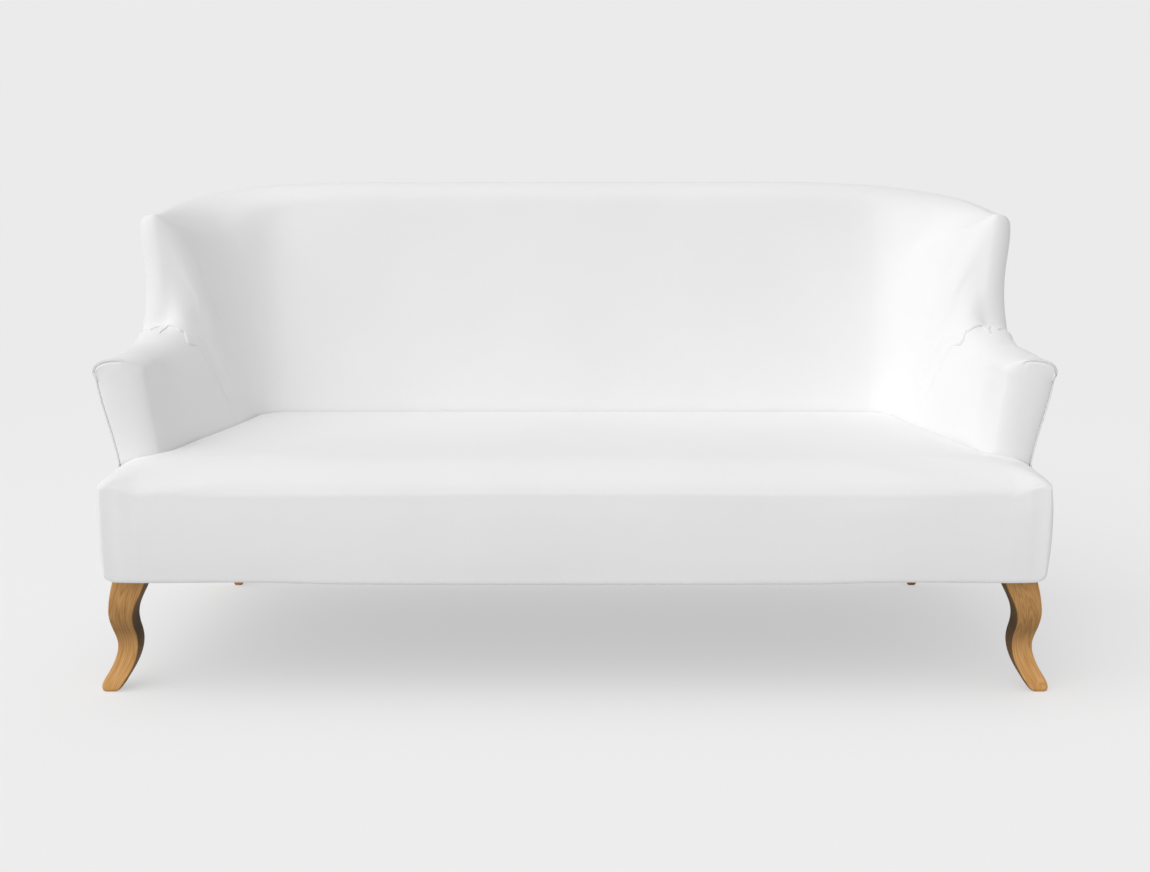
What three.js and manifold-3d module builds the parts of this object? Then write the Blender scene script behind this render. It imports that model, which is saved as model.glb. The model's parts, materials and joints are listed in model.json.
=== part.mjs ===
// A tight-upholstered cabriole sofa: a T-shaped sprung seat, arms and back in one horseshoe, wings where
// the back drops to the arms, and oak cabriole legs. Millimetres, +Z up. The front faces -Y, the origin is
// on the floor under the middle, and the left side is at -X, as seen from the front.
import * as THREE from 'three';
import { mergeVertices } from 'three/addons/utils/BufferGeometryUtils.js';
import Module from 'manifold-3d';

const wasm = await Module();
wasm.setup();

// Overall sizes
const sofaWidth = 1916;
const sofaDepth = 860;
const sofaHeight = 980;
const legHeight = 240;
const seatHeight = 470;
const armHeight = 662;
const wingDrop = 56;
const backThickness = 209;
const backRake = 80;

// Clearances, and the overrun that every cut has past a face
const clearance = 0.3;
const overrun = 40;
const weldDistance = 1e-4;

// Upholstery
const coverThickness = 3;
const panelThickness = 6;
const panelRecess = 2;
const dustCoverThickness = 1;
const dustCoverInset = 14;
const dustCoverBoltHole = 14;

// Seat block in plan, and how its top edges roll over
const seatSideInset = 34;
const armSetback = 124;
const earCornerRadius = 10;
const frontRollDepth = 97;
const frontRollHeight = 70;
const earRollWidth = 90;
const earRollHeight = 40;
const seatCrownDrop = 9;
const seatEdgeDrop = 5;

// Arms in plan, where the seat meets them and the back
const armFrontThickness = 98;
const armBowThickness = 193;
const armRearThickness = 240;
const deckCornerRun = 51;
const deckCornerWidth = 58;
const deckCornerHandle = 28;

// Outside of the horseshoe at the foot of its panels
const rearCornerDepth = 230;
const rearCornerWidth = 161;
const rearCornerSideHandle = 190;
const rearCornerBackHandle = 140;
const panelSeamInset = 168;

// How the inside flares above the seat, and the outside leans
const insideFlare = 160;
const armFrontFlare = 12;
const armLean = 37;
const armLeanDrop = 24;
const wingArmLean = 28;
const wingWaistLean = 19;
const wingTopLean = 36;

// Top rolls
const armRoll = 30;
const backRoll = 48;
const wingRoll = 34;

// Padding between the cover and the frame, and the air between the frame and the outside panels
const frameInset = 4;
const armFrontPad = 12;
const insidePad = 45;
const wingPad = 28;
const armTopPad = 34;
const backTopPad = 40;

// Timber
const railThickness = 28;
const railHeight = 100;
const frontPad = 15;
const tackRailHeight = 40;
const tackRailDrop = 68;
const topRailHeight = 28;
const topRailDrop = 7;
const ribThickness = 18;
const boardThickness = 18;
const armRailThickness = 20;
const cornerBlockLength = 95;
const cornerBlockHeight = 45;
const ribInset = 40;
const cornerRailDrop = 49;
const centreRailDrop = 8;

// Suspension
const springCount = 9;
const springEdgeGap = 86;
const springWire = 4;
const springWidth = 52;
const springHalfWaves = 12;
const springStepsPerHalfWave = 3;
const springArch = 12;
const springLift = 3;
const clipWidth = 22;
const clipLength = 24;
const clipThickness = 3;
const feltThickness = 4;
const feltLift = 23;
const strapWidth = 60;
const strapThickness = 2;

// Legs and hanger bolts
const frontLegInset = 70;
const frontLegSetback = 76;
const rearLegSideInset = 140;
const rearLegInset = 58;
const rearLegTop = 46;
const rearLegToe = 26;
const rearToeOut = 8;
const rearToeBack = 30;
const boltDiameter = 8;
const boltInLeg = 34;
const boltInBlock = 30;
const boltPlay = 0.4;
const boltSides = 10;

// Front cabriole leg: its section under the rail, how far its toe swings out and forward, and the shares
// of these and of its height at each station, from the rail down
const legTopWidth = 72;
const legTopDepth = 64;
const legToeOut = 54;
const legToeForward = 28;
const legStationShares = [
  { height: 1, out: 0, forward: 0, width: 1, depth: 1 },
  { height: 0.854, out: 0.222, forward: 0.214, width: 0.889, depth: 0.875 },
  { height: 0.667, out: 0.463, forward: 0.429, width: 0.681, depth: 0.703 },
  { height: 0.425, out: 0.296, forward: 0.143, width: 0.597, depth: 0.641 },
  { height: 0.217, out: 0.537, forward: 0.464, width: 0.618, depth: 0.656 },
  { height: 0.058, out: 0.926, forward: 0.964, width: 0.597, depth: 0.641 },
  { height: 0, out: 1, forward: 1, width: 0.361, depth: 0.406 },
];
const legRings = 15;
const legRoundShare = 0.16;
const legCornerShares = [0, 0.5, 1];

// Shares that place the rings and rows
const deckBowShare = 0.49;
const wingWaistShare = 0.29;
const innerRibShare = 0.45;
const armTimes = [0, 0.14, 0.3, 0.46, 0.62, 0.72];
const wingTimes = [0.76, 0.785, 0.805, 0.825, 0.85, 0.88, 1];
const cornerTimes = [1.2, 1.4, 1.6, 1.8, 2];
const backTimes = [2.2, 2.6, 3];
const wingBoardTime = 0.8;
const wingFootTime = 0.745;
const wingHeadTime = 0.87;
const backTopTime = 2.34;
const backMiddle = 3;
const padFullTime = 0.45;
const outsideShares = [0, 0.3, 0.55, 0.78, 1];
const insideShares = [0, 0.12, 0.3, 0.55, 0.8, 1];
const rollShares = [-0.93, -0.7, -0.35, 0, 0.35, 0.7, 0.93];
const earShares = [0, 0.12, 0.4, 0.7, 1];
const frontMiddleShares = [-0.6, -0.3, 0, 0.3, 0.6];
const frontRowShares = [0, 0.04, 0.13, 0.27, 0.47, 0.72, 1];
const deckShares = [-1, -0.85, -0.6, -0.3, 0, 0.3, 0.6, 0.85, 1];
const rollPowerShare = 2.5;
const flarePowerShare = 0.75;

// Places worked out from the sizes
const sofaHalfWidth = sofaWidth / 2;
const frontY = -sofaDepth / 2;
const rearBaseY = sofaDepth / 2 - backRake;
const armFrontY = frontY + armSetback;
const insideBackY = rearBaseY - backThickness;
const seatHalfWidth = sofaHalfWidth - seatSideInset;
const baseHalfWidth = sofaHalfWidth - armLean;
const rearCornerHalf = baseHalfWidth - rearCornerWidth;
const panelSeamHalf = sofaHalfWidth - panelSeamInset;
const deckFrontHalf = sofaHalfWidth - armFrontThickness;
const deckBowHalf = sofaHalfWidth - armBowThickness;
const deckRearHalf = sofaHalfWidth - armRearThickness;
const deckCornerHalf = deckRearHalf - deckCornerWidth;
const frontLegHalf = sofaHalfWidth - frontLegInset;
const rearLegHalf = sofaHalfWidth - rearLegSideInset;
const wingHeight = sofaHeight - wingDrop;
const armLeanStart = seatHeight - armLeanDrop;
const borderBottom = legHeight + clearance;
const railBottom = borderBottom + dustCoverThickness + clearance;
const railTop = railBottom + railHeight;
const panelBottom = railBottom;
const deckSideTop = seatHeight - seatEdgeDrop;
const backRollStart = sofaHeight - backRoll;
const frontRailFront = frontY + coverThickness + frontPad;
const frontRailRear = frontRailFront + railThickness;
const sideEndY = rearBaseY - rearCornerDepth;
const seatRailRear = insideBackY - insidePad - frameInset;
const seatRailFront = seatRailRear - railThickness;
const baseRailRear = rearBaseY - coverThickness - clearance;
const baseRailFront = baseRailRear - railThickness;
const armPanelFront = armFrontY + panelRecess;
const armPanelRear = armPanelFront + panelThickness;
const armPostFront = armPanelRear + clearance;
const armPostRear = armPostFront + railThickness;
const sideRailOuter = baseHalfWidth - coverThickness - clearance;
const sideRailInner = sideRailOuter - railThickness;
const feltBottom = railTop + feltLift;
const feltTop = feltBottom + feltThickness;
const armRailTop = armHeight - armTopPad - clearance;
const armRailBottom = armRailTop - armRailThickness;
const tackRailBottom = seatHeight - tackRailDrop;
const tackRailTop = tackRailBottom + tackRailHeight;
const topRailTop = sofaHeight - backTopPad - topRailDrop;
const topRailBottom = topRailTop - topRailHeight;
const cornerRailTop = wingHeight - cornerRailDrop;
const cornerRailBottom = cornerRailTop - boardThickness;
const outerRibPlace = deckCornerHalf - ribInset;
const innerRibPlace = outerRibPlace * innerRibShare;
const springSpacing = 2 * (deckRearHalf - springEdgeGap) / (springCount - 1);

const lerp = (a, b, share) => a + (b - a) * share;
const clampShare = (value) => Math.min(1, Math.max(0, value));
const ease = (value) => {
  const share = clampShare(value);
  return share * share * (3 - 2 * share);
};
const v2 = (x, y) => new THREE.Vector2(x, y);
const v3 = (x, y, z) => new THREE.Vector3(x, y, z);

// Turns a closed geometry into a solid that can be joined and cut
function solidOf(geometry) {
  const bare = geometry.clone();
  bare.deleteAttribute('normal');
  bare.deleteAttribute('uv');
  const merged = mergeVertices(bare, weldDistance);
  return new wasm.Manifold(new wasm.Mesh({
    numProp: 3,
    vertProperties: new Float32Array(merged.attributes.position.array),
    triVerts: new Uint32Array(merged.index.array),
  }));
}

function geometryOf(solid) {
  const mesh = solid.getMesh();
  const geometry = new THREE.BufferGeometry();
  geometry.setAttribute('position', new THREE.BufferAttribute(mesh.vertProperties, 3));
  geometry.setIndex(new THREE.BufferAttribute(mesh.triVerts, 1));
  return geometry;
}

// Skins rings of points, each a closed loop with an even count, into a solid with zipped flat ends
function loft(rings) {
  const count = rings[0].length;
  const positions = rings.flat().flatMap((point) => [point.x, point.y, point.z]);
  const index = [];
  for (let ring = 0; ring + 1 < rings.length; ring += 1) {
    for (let i = 0; i < count; i += 1) {
      const next = (i + 1) % count;
      const a = ring * count + i;
      const b = ring * count + next;
      const near = rings[ring][i].distanceTo(rings[ring + 1][next]);
      const far = rings[ring][next].distanceTo(rings[ring + 1][i]);
      if (near < far) index.push(a, b, b + count, a, b + count, a + count);
      else index.push(a, b, a + count, b, b + count, a + count);
    }
  }
  const last = (rings.length - 1) * count;
  for (let i = 0; i + 1 < count / 2; i += 1) {
    const [a, b, c, d] = [i, i + 1, count - 2 - i, count - 1 - i];
    index.push(c, b, a);
    index.push(d, c, a);
    index.push(last + a, last + b, last + c);
    index.push(last + a, last + c, last + d);
  }
  return outward(positions, index);
}

// Makes a geometry whose faces point out
function outward(positions, index) {
  const point = (i) => v3(positions[3 * i], positions[3 * i + 1], positions[3 * i + 2]);
  let volume = 0;
  for (let i = 0; i < index.length; i += 3) {
    volume += point(index[i]).dot(point(index[i + 1]).cross(point(index[i + 2])));
  }
  if (volume < 0) {
    for (let i = 0; i < index.length; i += 3) {
      [index[i + 1], index[i + 2]] = [index[i + 2], index[i + 1]];
    }
  }
  const geometry = new THREE.BufferGeometry();
  geometry.setAttribute('position', new THREE.Float32BufferAttribute(positions, 3));
  geometry.setIndex(index);
  return geometry;
}

function box(x0, x1, y0, y1, z0, z1) {
  return solidOf(new THREE.BoxGeometry(x1 - x0, y1 - y0, z1 - z0)
    .translate((x0 + x1) / 2, (y0 + y1) / 2, (z0 + z1) / 2));
}

// A board whose outline is in plan, between two heights
function planBoard(points, z0, z1) {
  const shape = new THREE.Shape(points);
  return solidOf(new THREE.ExtrudeGeometry(shape, { depth: z1 - z0, bevelEnabled: false })
    .translate(0, 0, z0));
}

// A board whose outline is in y and z, between two places across the sofa
function uprightBoard(points, x0, x1) {
  const shape = new THREE.Shape(points);
  const turn = new THREE.Matrix4().makeBasis(v3(0, 1, 0), v3(0, 0, 1), v3(1, 0, 0));
  return solidOf(new THREE.ExtrudeGeometry(shape, { depth: x1 - x0, bevelEnabled: false })
    .applyMatrix4(turn).translate(x0, 0, 0));
}

function rod(diameter, x, y, z0, z1) {
  return solidOf(new THREE.CylinderGeometry(diameter / 2, diameter / 2, z1 - z0, boltSides)
    .rotateX(Math.PI / 2).translate(x, y, (z0 + z1) / 2));
}

function mirrored(solid) {
  return solid.mirror([1, 0, 0]);
}

// The horseshoe in plan: time 0 is the arm front, 1 the corner's start, 2 its end, 3 the middle of the back
const deckSideEnd = v2(deckRearHalf, insideBackY - deckCornerRun);
const deckBow = v2(deckBowHalf, lerp(armFrontY, deckSideEnd.y, deckBowShare));
const deckLead = deckSideEnd.clone().sub(deckBow).normalize();
const insideCurves = [
  new THREE.QuadraticBezierCurve(v2(deckFrontHalf, armFrontY), deckBow, deckSideEnd),
  new THREE.CubicBezierCurve(
    deckSideEnd,
    deckSideEnd.clone().addScaledVector(deckLead, deckCornerHandle),
    v2(deckCornerHalf + deckCornerHandle, insideBackY),
    v2(deckCornerHalf, insideBackY),
  ),
  new THREE.LineCurve(v2(deckCornerHalf, insideBackY), v2(0, insideBackY)),
];
const outsideCurves = [
  new THREE.LineCurve(v2(baseHalfWidth, armFrontY), v2(baseHalfWidth, sideEndY)),
  new THREE.CubicBezierCurve(
    v2(baseHalfWidth, sideEndY),
    v2(baseHalfWidth, sideEndY + rearCornerSideHandle),
    v2(rearCornerHalf + rearCornerBackHandle, rearBaseY),
    v2(rearCornerHalf, rearBaseY),
  ),
  new THREE.LineCurve(v2(rearCornerHalf, rearBaseY), v2(0, rearBaseY)),
];

// A point of one of the two plan curves, and the direction square to it and away from the seat
function onPlan(curves, time) {
  const piece = Math.min(curves.length - 1, Math.floor(time));
  const along = curves[piece].getTangent(time - piece);
  return { point: curves[piece].getPoint(time - piece), away: v2(along.y, -along.x) };
}

// Height of the top edge: level arms, a steep wing front, and an easy rise to the back
function topHeight(time) {
  const wing = ease((time - wingFootTime) / (wingHeadTime - wingFootTime));
  const back = ease((time - wingHeadTime) / (backTopTime - wingHeadTime));
  return lerp(armHeight, wingHeight, wing) + (sofaHeight - wingHeight) * back;
}

function rollHeight(time) {
  const wing = lerp(armRoll, wingRoll, ease((time - wingFootTime) / (wingHeadTime - wingFootTime)));
  return lerp(wing, backRoll, ease(time - 1));
}

// Inside surface at a time and a height, moved away from the sitter by an inset
function inside(time, height, inset) {
  const { point, away } = onPlan(insideCurves, time);
  const direction = v2(1, 0).lerp(away, ease(time)).normalize();
  const rise = clampShare((height - deckSideTop) / (backRollStart - deckSideTop));
  const flare = lerp(armFrontFlare, insideFlare, ease(time / padFullTime));
  return point.addScaledVector(direction, flare * rise ** flarePowerShare + inset);
}

// How far the outside leans out at a height: the arm's side, the wing's waisted side and the raked back
function lean(time, height) {
  const wingWaistHeight = lerp(armHeight, wingHeight, wingWaistShare);
  const arm = armLean * ease((height - armLeanStart) / (armHeight - armRoll - armLeanStart));
  const toWaist = ease((height - armHeight) / (wingWaistHeight - armHeight));
  const toTop = ease((height - wingWaistHeight) / (wingHeight - wingRoll - wingWaistHeight));
  const wingArm = wingArmLean * ease((height - armLeanStart) / (armHeight - armLeanStart));
  const wing = wingArm + (wingWaistLean - wingArmLean) * toWaist + (wingTopLean - wingWaistLean) * toTop;
  const back = backRake * (height - legHeight) / (backRollStart - legHeight);
  return lerp(lerp(arm, wing, ease(time / wingFootTime)), back, ease(time - 1));
}

function outside(time, height, inset) {
  const { point, away } = onPlan(outsideCurves, time);
  return point.addScaledVector(away, lean(time, height) - inset);
}

const at = (plan, height) => v3(plan.x, plan.y, height);

// One ring of the horseshoe: up the outside, over the top roll and down the inside
function tubRing(time) {
  const top = topHeight(time);
  const roll = rollHeight(time);
  const rollStart = top - roll;
  const ring = [at(outside(time, panelBottom, 0), panelBottom)];
  for (const share of outsideShares) {
    const height = lerp(armLeanStart, rollStart, share);
    ring.push(at(outside(time, height, 0), height));
  }
  for (const share of rollShares) {
    const height = rollStart + roll * (1 - Math.abs(share) ** rollPowerShare) ** (1 / rollPowerShare);
    const outer = outside(time, Math.min(height, rollStart), 0);
    const inner = inside(time, rollStart, 0);
    ring.push(at(outer.lerp(inner, (share + 1) / 2), height));
  }
  for (const share of [...insideShares].reverse()) {
    const height = lerp(deckSideTop, rollStart, share);
    ring.push(at(inside(time, height, 0), height));
  }
  ring.push(at(inside(time, railTop, 0), railTop));
  return ring;
}

// Moves each point of a net of rings into the solid by a depth, square to the surface
function sunk(rings, depth) {
  return rings.map((ring, r) => ring.map((point, i) => {
    const across = rings[Math.min(r + 1, rings.length - 1)][i].clone()
      .sub(rings[Math.max(r - 1, 0)][i]);
    const up = ring[Math.min(i + 1, ring.length - 1)].clone().sub(ring[Math.max(i - 1, 0)]);
    return point.clone().addScaledVector(up.cross(across).normalize(), depth);
  }));
}

// The rings of the whole horseshoe, from one arm front round to the other
function horseshoeRings(times) {
  const right = times.map(tubRing);
  const left = right.slice(0, -1).reverse().map((ring) => ring.map((p) => v3(-p.x, p.y, p.z)));
  return [...right, ...left];
}

// A skin of even thickness over the part of each ring between two places, a gap past the first
function skin(rings, from, to, thickness, gap) {
  const inner = sunk(rings, thickness);
  return solidOf(loft(rings.map((ring, r) => {
    const step = ring[from + 1].clone().sub(ring[from]).setLength(gap);
    const start = ring[from].clone().add(step);
    const innerStart = inner[r][from].clone().add(step);
    return [
      start, ...ring.slice(from + 1, to + 1),
      ...inner[r].slice(from + 1, to + 1).reverse(), innerStart,
    ];
  })));
}

const allTimes = [...armTimes, ...wingTimes, ...cornerTimes, ...backTimes];
const seamPlace = outsideShares.length;
const ringEnd = seamPlace + rollShares.length + insideShares.length + 1;

// The region that an arm's cover takes from the horseshoe: all that is in front of the wing's foot
function armRegion(gap) {
  const wingFoot = outside(wingFootTime, armHeight, 0).y;
  return box(0, sofaWidth, -sofaDepth, wingFoot - gap, 0, sofaHeight);
}

// A block under a height field: rows of half widths front to back, the same columns in each row
function slab(rows, columnShares, top, bottom) {
  const grid = rows.map(({ y, half }) => columnShares.map((share) => v2(share * half, y)));
  const rings = grid.map((row) => [
    ...row.map((p) => v3(p.x, p.y, top(p.x, p.y))),
    ...row.map((p) => v3(p.x, p.y, bottom)).reverse(),
  ]);
  return solidOf(loft(rings));
}

// Height of the seat's top: a crown that rolls over the front edge and the ears
function seatTop(inset) {
  return (x, y) => {
    const front = clampShare((frontY + inset + frontRollDepth - y) / frontRollDepth);
    const ear = clampShare((Math.abs(x) - (seatHalfWidth - inset - earRollWidth)) / earRollWidth);
    const onEar = y < armFrontY + overrun ? ear : 0;
    const crown = seatCrownDrop * (x / deckFrontHalf) ** 4;
    const rear = seatEdgeDrop * clampShare((y - armFrontY) / (insideBackY - armFrontY)) ** 2;
    return seatHeight - inset - crown - rear
      - frontRollHeight * (1 - Math.sqrt(1 - front ** 2))
      - earRollHeight * (1 - Math.sqrt(1 - onEar ** 2));
  };
}

const deckTimes = [...armTimes, ...wingTimes, ...cornerTimes];

// The front block with its ears, rounded at its front corners
function frontBlock(inset, bottom, rear) {
  const half = seatHalfWidth - inset;
  const front = frontY + inset;
  const rows = frontRowShares.map((share) => {
    const y = lerp(front, front + frontRollDepth, share);
    const turn = clampShare((front + earCornerRadius - y) / earCornerRadius);
    return { y, half: half - earCornerRadius * (1 - Math.sqrt(1 - turn ** 2)) };
  });
  rows.push({ y: rear, half });
  const ear = earShares.map((share) => 1 - (earRollWidth / half) * (1 - share));
  const columnShares = [...ear.map((share) => -share).reverse(), ...frontMiddleShares, ...ear];
  return slab(rows, columnShares, seatTop(inset), bottom);
}

// The deck between the arms and the back
function deckBlock(inset, bottom, front) {
  const rows = deckTimes.map((time) => {
    const { point, away } = onPlan(insideCurves, time);
    return point.addScaledVector(away, -inset);
  }).map((point) => ({ y: point.y, half: point.x }));
  rows[0].y = front;
  return slab(rows, deckShares, seatTop(inset), bottom);
}

function seatBlock(inset, bottom) {
  const earRear = armFrontY - clearance;
  const front = frontBlock(inset, bottom, earRear - inset);
  return front.add(deckBlock(inset + clearance, Math.max(bottom, railTop), frontY + frontRollDepth));
}

// The space under the seat's foam for the rails, and above them for the springs
function frameSpace() {
  const half = sideRailOuter + clearance;
  const front = frontRailFront - clearance;
  return box(-half, half, front, sofaDepth, 0, railTop + clearance);
}

// A flat layer in the shape of the deck, inset from its edges
function deckLayer(inset, front, bottom, top) {
  const right = deckTimes.map((time) => {
    const { point, away } = onPlan(insideCurves, time);
    return point.addScaledVector(away, -inset);
  });
  right[0].y = front;
  const left = [...right].reverse().map((point) => v2(-point.x, point.y));
  return planBoard([...right, ...left], bottom, top);
}

function springSpace() {
  return deckLayer(insidePad - clearance, frontRailFront - clearance, legHeight, feltTop + clearance);
}

function feltPad() {
  return deckLayer(insidePad, frontRailFront, feltBottom, feltTop);
}

function seatCover() {
  const under = seatBlock(coverThickness, borderBottom - overrun);
  const open = deckBlock(coverThickness + clearance, railTop - overrun, frontY + frontRollDepth);
  return seatBlock(0, borderBottom).subtract(under).subtract(open).subtract(frameSpace());
}

function seatFoam() {
  return seatBlock(coverThickness + clearance, railBottom).subtract(frameSpace()).subtract(springSpace());
}

// The space for the frame inside the padding of the horseshoe
function cavityRing(time) {
  const wing = ease((time - wingFootTime) / (1 - wingFootTime)) * (1 - ease(time - 1));
  const pad = lerp(lerp(armFrontPad, insidePad, ease(time / padFullTime)), wingPad, wing);
  const topPad = lerp(armTopPad, backTopPad, ease(time - 1));
  const top = topHeight(time) - topPad;
  const high = Math.min(top, topHeight(time) - rollHeight(time));
  const bottom = panelBottom - overrun;
  return [
    at(outside(time, bottom, -overrun), bottom),
    at(outside(time, top, -overrun), top),
    at(inside(time, high, pad), top),
    at(inside(time, deckSideTop, pad), bottom),
  ];
}

function cavity() {
  const right = allTimes.map(cavityRing);
  const left = right.slice(0, -1).reverse().map((ring) => ring.map((p) => v3(-p.x, p.y, p.z)));
  const rings = [...right, ...left];
  const before = rings[0].map((p) => v3(p.x, p.y - overrun, p.z));
  const after = rings[rings.length - 1].map((p) => v3(p.x, p.y - overrun, p.z));
  return solidOf(loft([before, ...rings, after]));
}

// Where the frame's inner and outer faces run, at a time and height inside the cavity
function frameInner(time, height) {
  const [, , high, low] = cavityRing(time);
  const share = (height - low.z) / (high.z - low.z);
  const point = low.clone().lerp(high, share);
  return v2(point.x, point.y);
}

function frameOuter(time, height) {
  return outside(time, height, coverThickness + frameInset);
}

const fabric = new THREE.MeshStandardMaterial({ color: 0xe9e7e2, roughness: 0.9, metalness: 0 });
const panelFabric = new THREE.MeshStandardMaterial({ color: 0xe2e0db, roughness: 0.9, metalness: 0 });
const cambric = new THREE.MeshStandardMaterial({ color: 0x26262a, roughness: 0.95, metalness: 0 });
const foam = new THREE.MeshStandardMaterial({ color: 0xf0e6b4, roughness: 0.9, metalness: 0 });
const felt = new THREE.MeshStandardMaterial({ color: 0x8d8a84, roughness: 1, metalness: 0 });
const pine = new THREE.MeshStandardMaterial({ color: 0xd8bd8e, roughness: 0.7, metalness: 0 });
const oak = new THREE.MeshStandardMaterial({ color: 0xb98a55, roughness: 0.45, metalness: 0 });
const steel = new THREE.MeshStandardMaterial({ color: 0xa8abae, roughness: 0.35, metalness: 1 });
const elastic = new THREE.MeshStandardMaterial({ color: 0x2c3a4a, roughness: 0.85, metalness: 0 });

const sofa = new THREE.Group();

function add(name, solid, material) {
  const mesh = new THREE.Mesh(geometryOf(solid), material);
  mesh.name = name;
  sofa.add(mesh);
}

function addPair(name, solid, material) {
  add(`${name}_left`, mirrored(solid), material);
  add(`${name}_right`, solid, material);
}

function addSeat() {
  add('seat_cover', seatCover(), fabric);
  add('seat_foam', seatFoam(), foam);
  add('seat_spring_pad', feltPad(), felt);
}

// Covers, panels and foam of the arms and back
function addHorseshoe() {
  const rings = horseshoeRings(allTimes);
  const arm = armRegion(0);
  const bothArms = arm.add(mirrored(arm));
  const armSide = armRegion(clearance);
  const inner = skin(rings, seamPlace, ringEnd, coverThickness, clearance);
  add('inside_back_cover', inner.subtract(bothArms), fabric);
  addPair('arm_cover', inner.intersect(armSide), fabric);

  const outer = skin(rings, 0, seamPlace, coverThickness, 0);
  const seam = box(-panelSeamHalf, panelSeamHalf, 0, sofaDepth, 0, sofaHeight);
  const side = box(panelSeamHalf + clearance, sofaWidth, -sofaDepth, sofaDepth, 0, sofaHeight);
  addPair('outside_side_panel', outer.intersect(side), panelFabric);
  add('outside_back_panel', outer.intersect(seam), panelFabric);

  const under = box(-sofaWidth, sofaWidth, -sofaDepth, sofaDepth, 0, railTop + clearance);
  const shell = skin(rings, 0, ringEnd, coverThickness + clearance, 0);
  const padding = solidOf(loft(rings)).subtract(shell).subtract(outer).subtract(inner)
    .subtract(cavity()).subtract(under);
  add('back_foam', padding.subtract(bothArms), foam);
  const post = box(0, sofaWidth, frontY, armPostRear + clearance, 0, sofaHeight);
  addPair('arm_foam', padding.intersect(armSide).subtract(post), foam);
}

function addPanels() {
  const inset = coverThickness + clearance;
  const outline = [...sunk([tubRing(0), tubRing(armTimes[1])], inset)[0]];
  const points = outline.map((p) => v2(p.x, Math.max(p.z, railTop + clearance)));
  const shape = new THREE.Shape(points);
  const plate = new THREE.ExtrudeGeometry(shape, { depth: panelThickness, bevelEnabled: false });
  addPair('arm_front_panel', solidOf(plate.rotateX(Math.PI / 2).translate(0, armPanelRear, 0)), fabric);
}

// The rails that carry the seat, joined by blocks in the corners
function addSeatFrame() {
  const half = sideRailOuter;
  add('front_seat_rail', box(-half, half, frontRailFront, frontRailRear, railBottom, railTop), pine);
  const sideFront = frontRailRear + clearance;
  addPair('side_seat_rail', box(sideRailInner, half, sideFront, sideEndY, railBottom, railTop), pine);
  const between = sideRailInner - clearance;
  add('rear_seat_rail', box(-between, between, seatRailFront, seatRailRear, railBottom, railTop), pine);
  const centre = railThickness / 2;
  const centreTop = railTop - centreRailDrop;
  const centreRear = seatRailFront - clearance;
  add('seat_centre_rail', box(-centre, centre, sideFront, centreRear, railBottom, centreTop), pine);
  const base = rearCornerHalf;
  add('back_base_rail', box(-base, base, baseRailFront, baseRailRear, railBottom, railTop), pine);
}

// A triangle of timber in the corner of the front and side rails
function frontCornerBlock() {
  const x = sideRailInner - clearance;
  const y = frontRailRear + clearance;
  return planBoard([v2(x, y), v2(x, y + cornerBlockLength), v2(x - cornerBlockLength, y)],
    railBottom, railBottom + cornerBlockHeight);
}

// A full-height block that follows the round rear corner between the side rail and the base rail
function rearCornerBlock() {
  const startY = sideEndY + clearance;
  const endX = rearCornerHalf + clearance;
  const outer = cornerTimes.map((time) => frameOuter(time, railBottom));
  outer[outer.length - 1].x = endX;
  return planBoard([
    v2(sideRailInner, startY), v2(sideRailOuter - frameInset, startY), ...outer,
    v2(endX, baseRailFront - cornerBlockHeight),
  ], railBottom, railTop);
}

// The boards that carry an arm and its wing
function addArmFrame() {
  const postHeights = insideShares.map((share) => (
    lerp(railTop + clearance, armRailBottom - clearance, share)
  ));
  const outer = postHeights.map((height) => v2(frameOuter(0, height).x, height));
  const inner = postHeights.map((height) => v2(frameInner(0, height).x + clearance, height));
  const post = new THREE.Shape([...outer, ...inner.reverse()]);
  const plate = new THREE.ExtrudeGeometry(post, { depth: railThickness, bevelEnabled: false });
  addPair('arm_front_post', solidOf(plate.rotateX(Math.PI / 2).translate(0, armPostRear, 0)), pine);

  const times = [...armTimes, wingBoardTime];
  const railOuter = times.map((time) => frameOuter(time, armRailBottom));
  const railInner = times.map((time) => frameInner(time, armRailTop).add(v2(clearance, 0)));
  railOuter[0].y = armPostFront;
  railInner[0].y = armPostFront;
  const railEnd = railInner[times.length - 1].y;
  railOuter[times.length - 1].y = railEnd;
  addPair('arm_top_rail', planBoard([...railOuter, ...railInner.reverse()], armRailBottom, armRailTop), pine);

  const boardOuter = sideRailOuter - frameInset;
  const boardInner = boardOuter - boardThickness;
  const reach = cavity().translate([0, 2 * clearance, -2 * clearance]);
  const front = railEnd + clearance;
  const board = box(boardInner, boardOuter, front, sideEndY, railTop + clearance, sofaHeight);
  addPair('wing_board', board.intersect(reach), pine);
}

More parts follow.
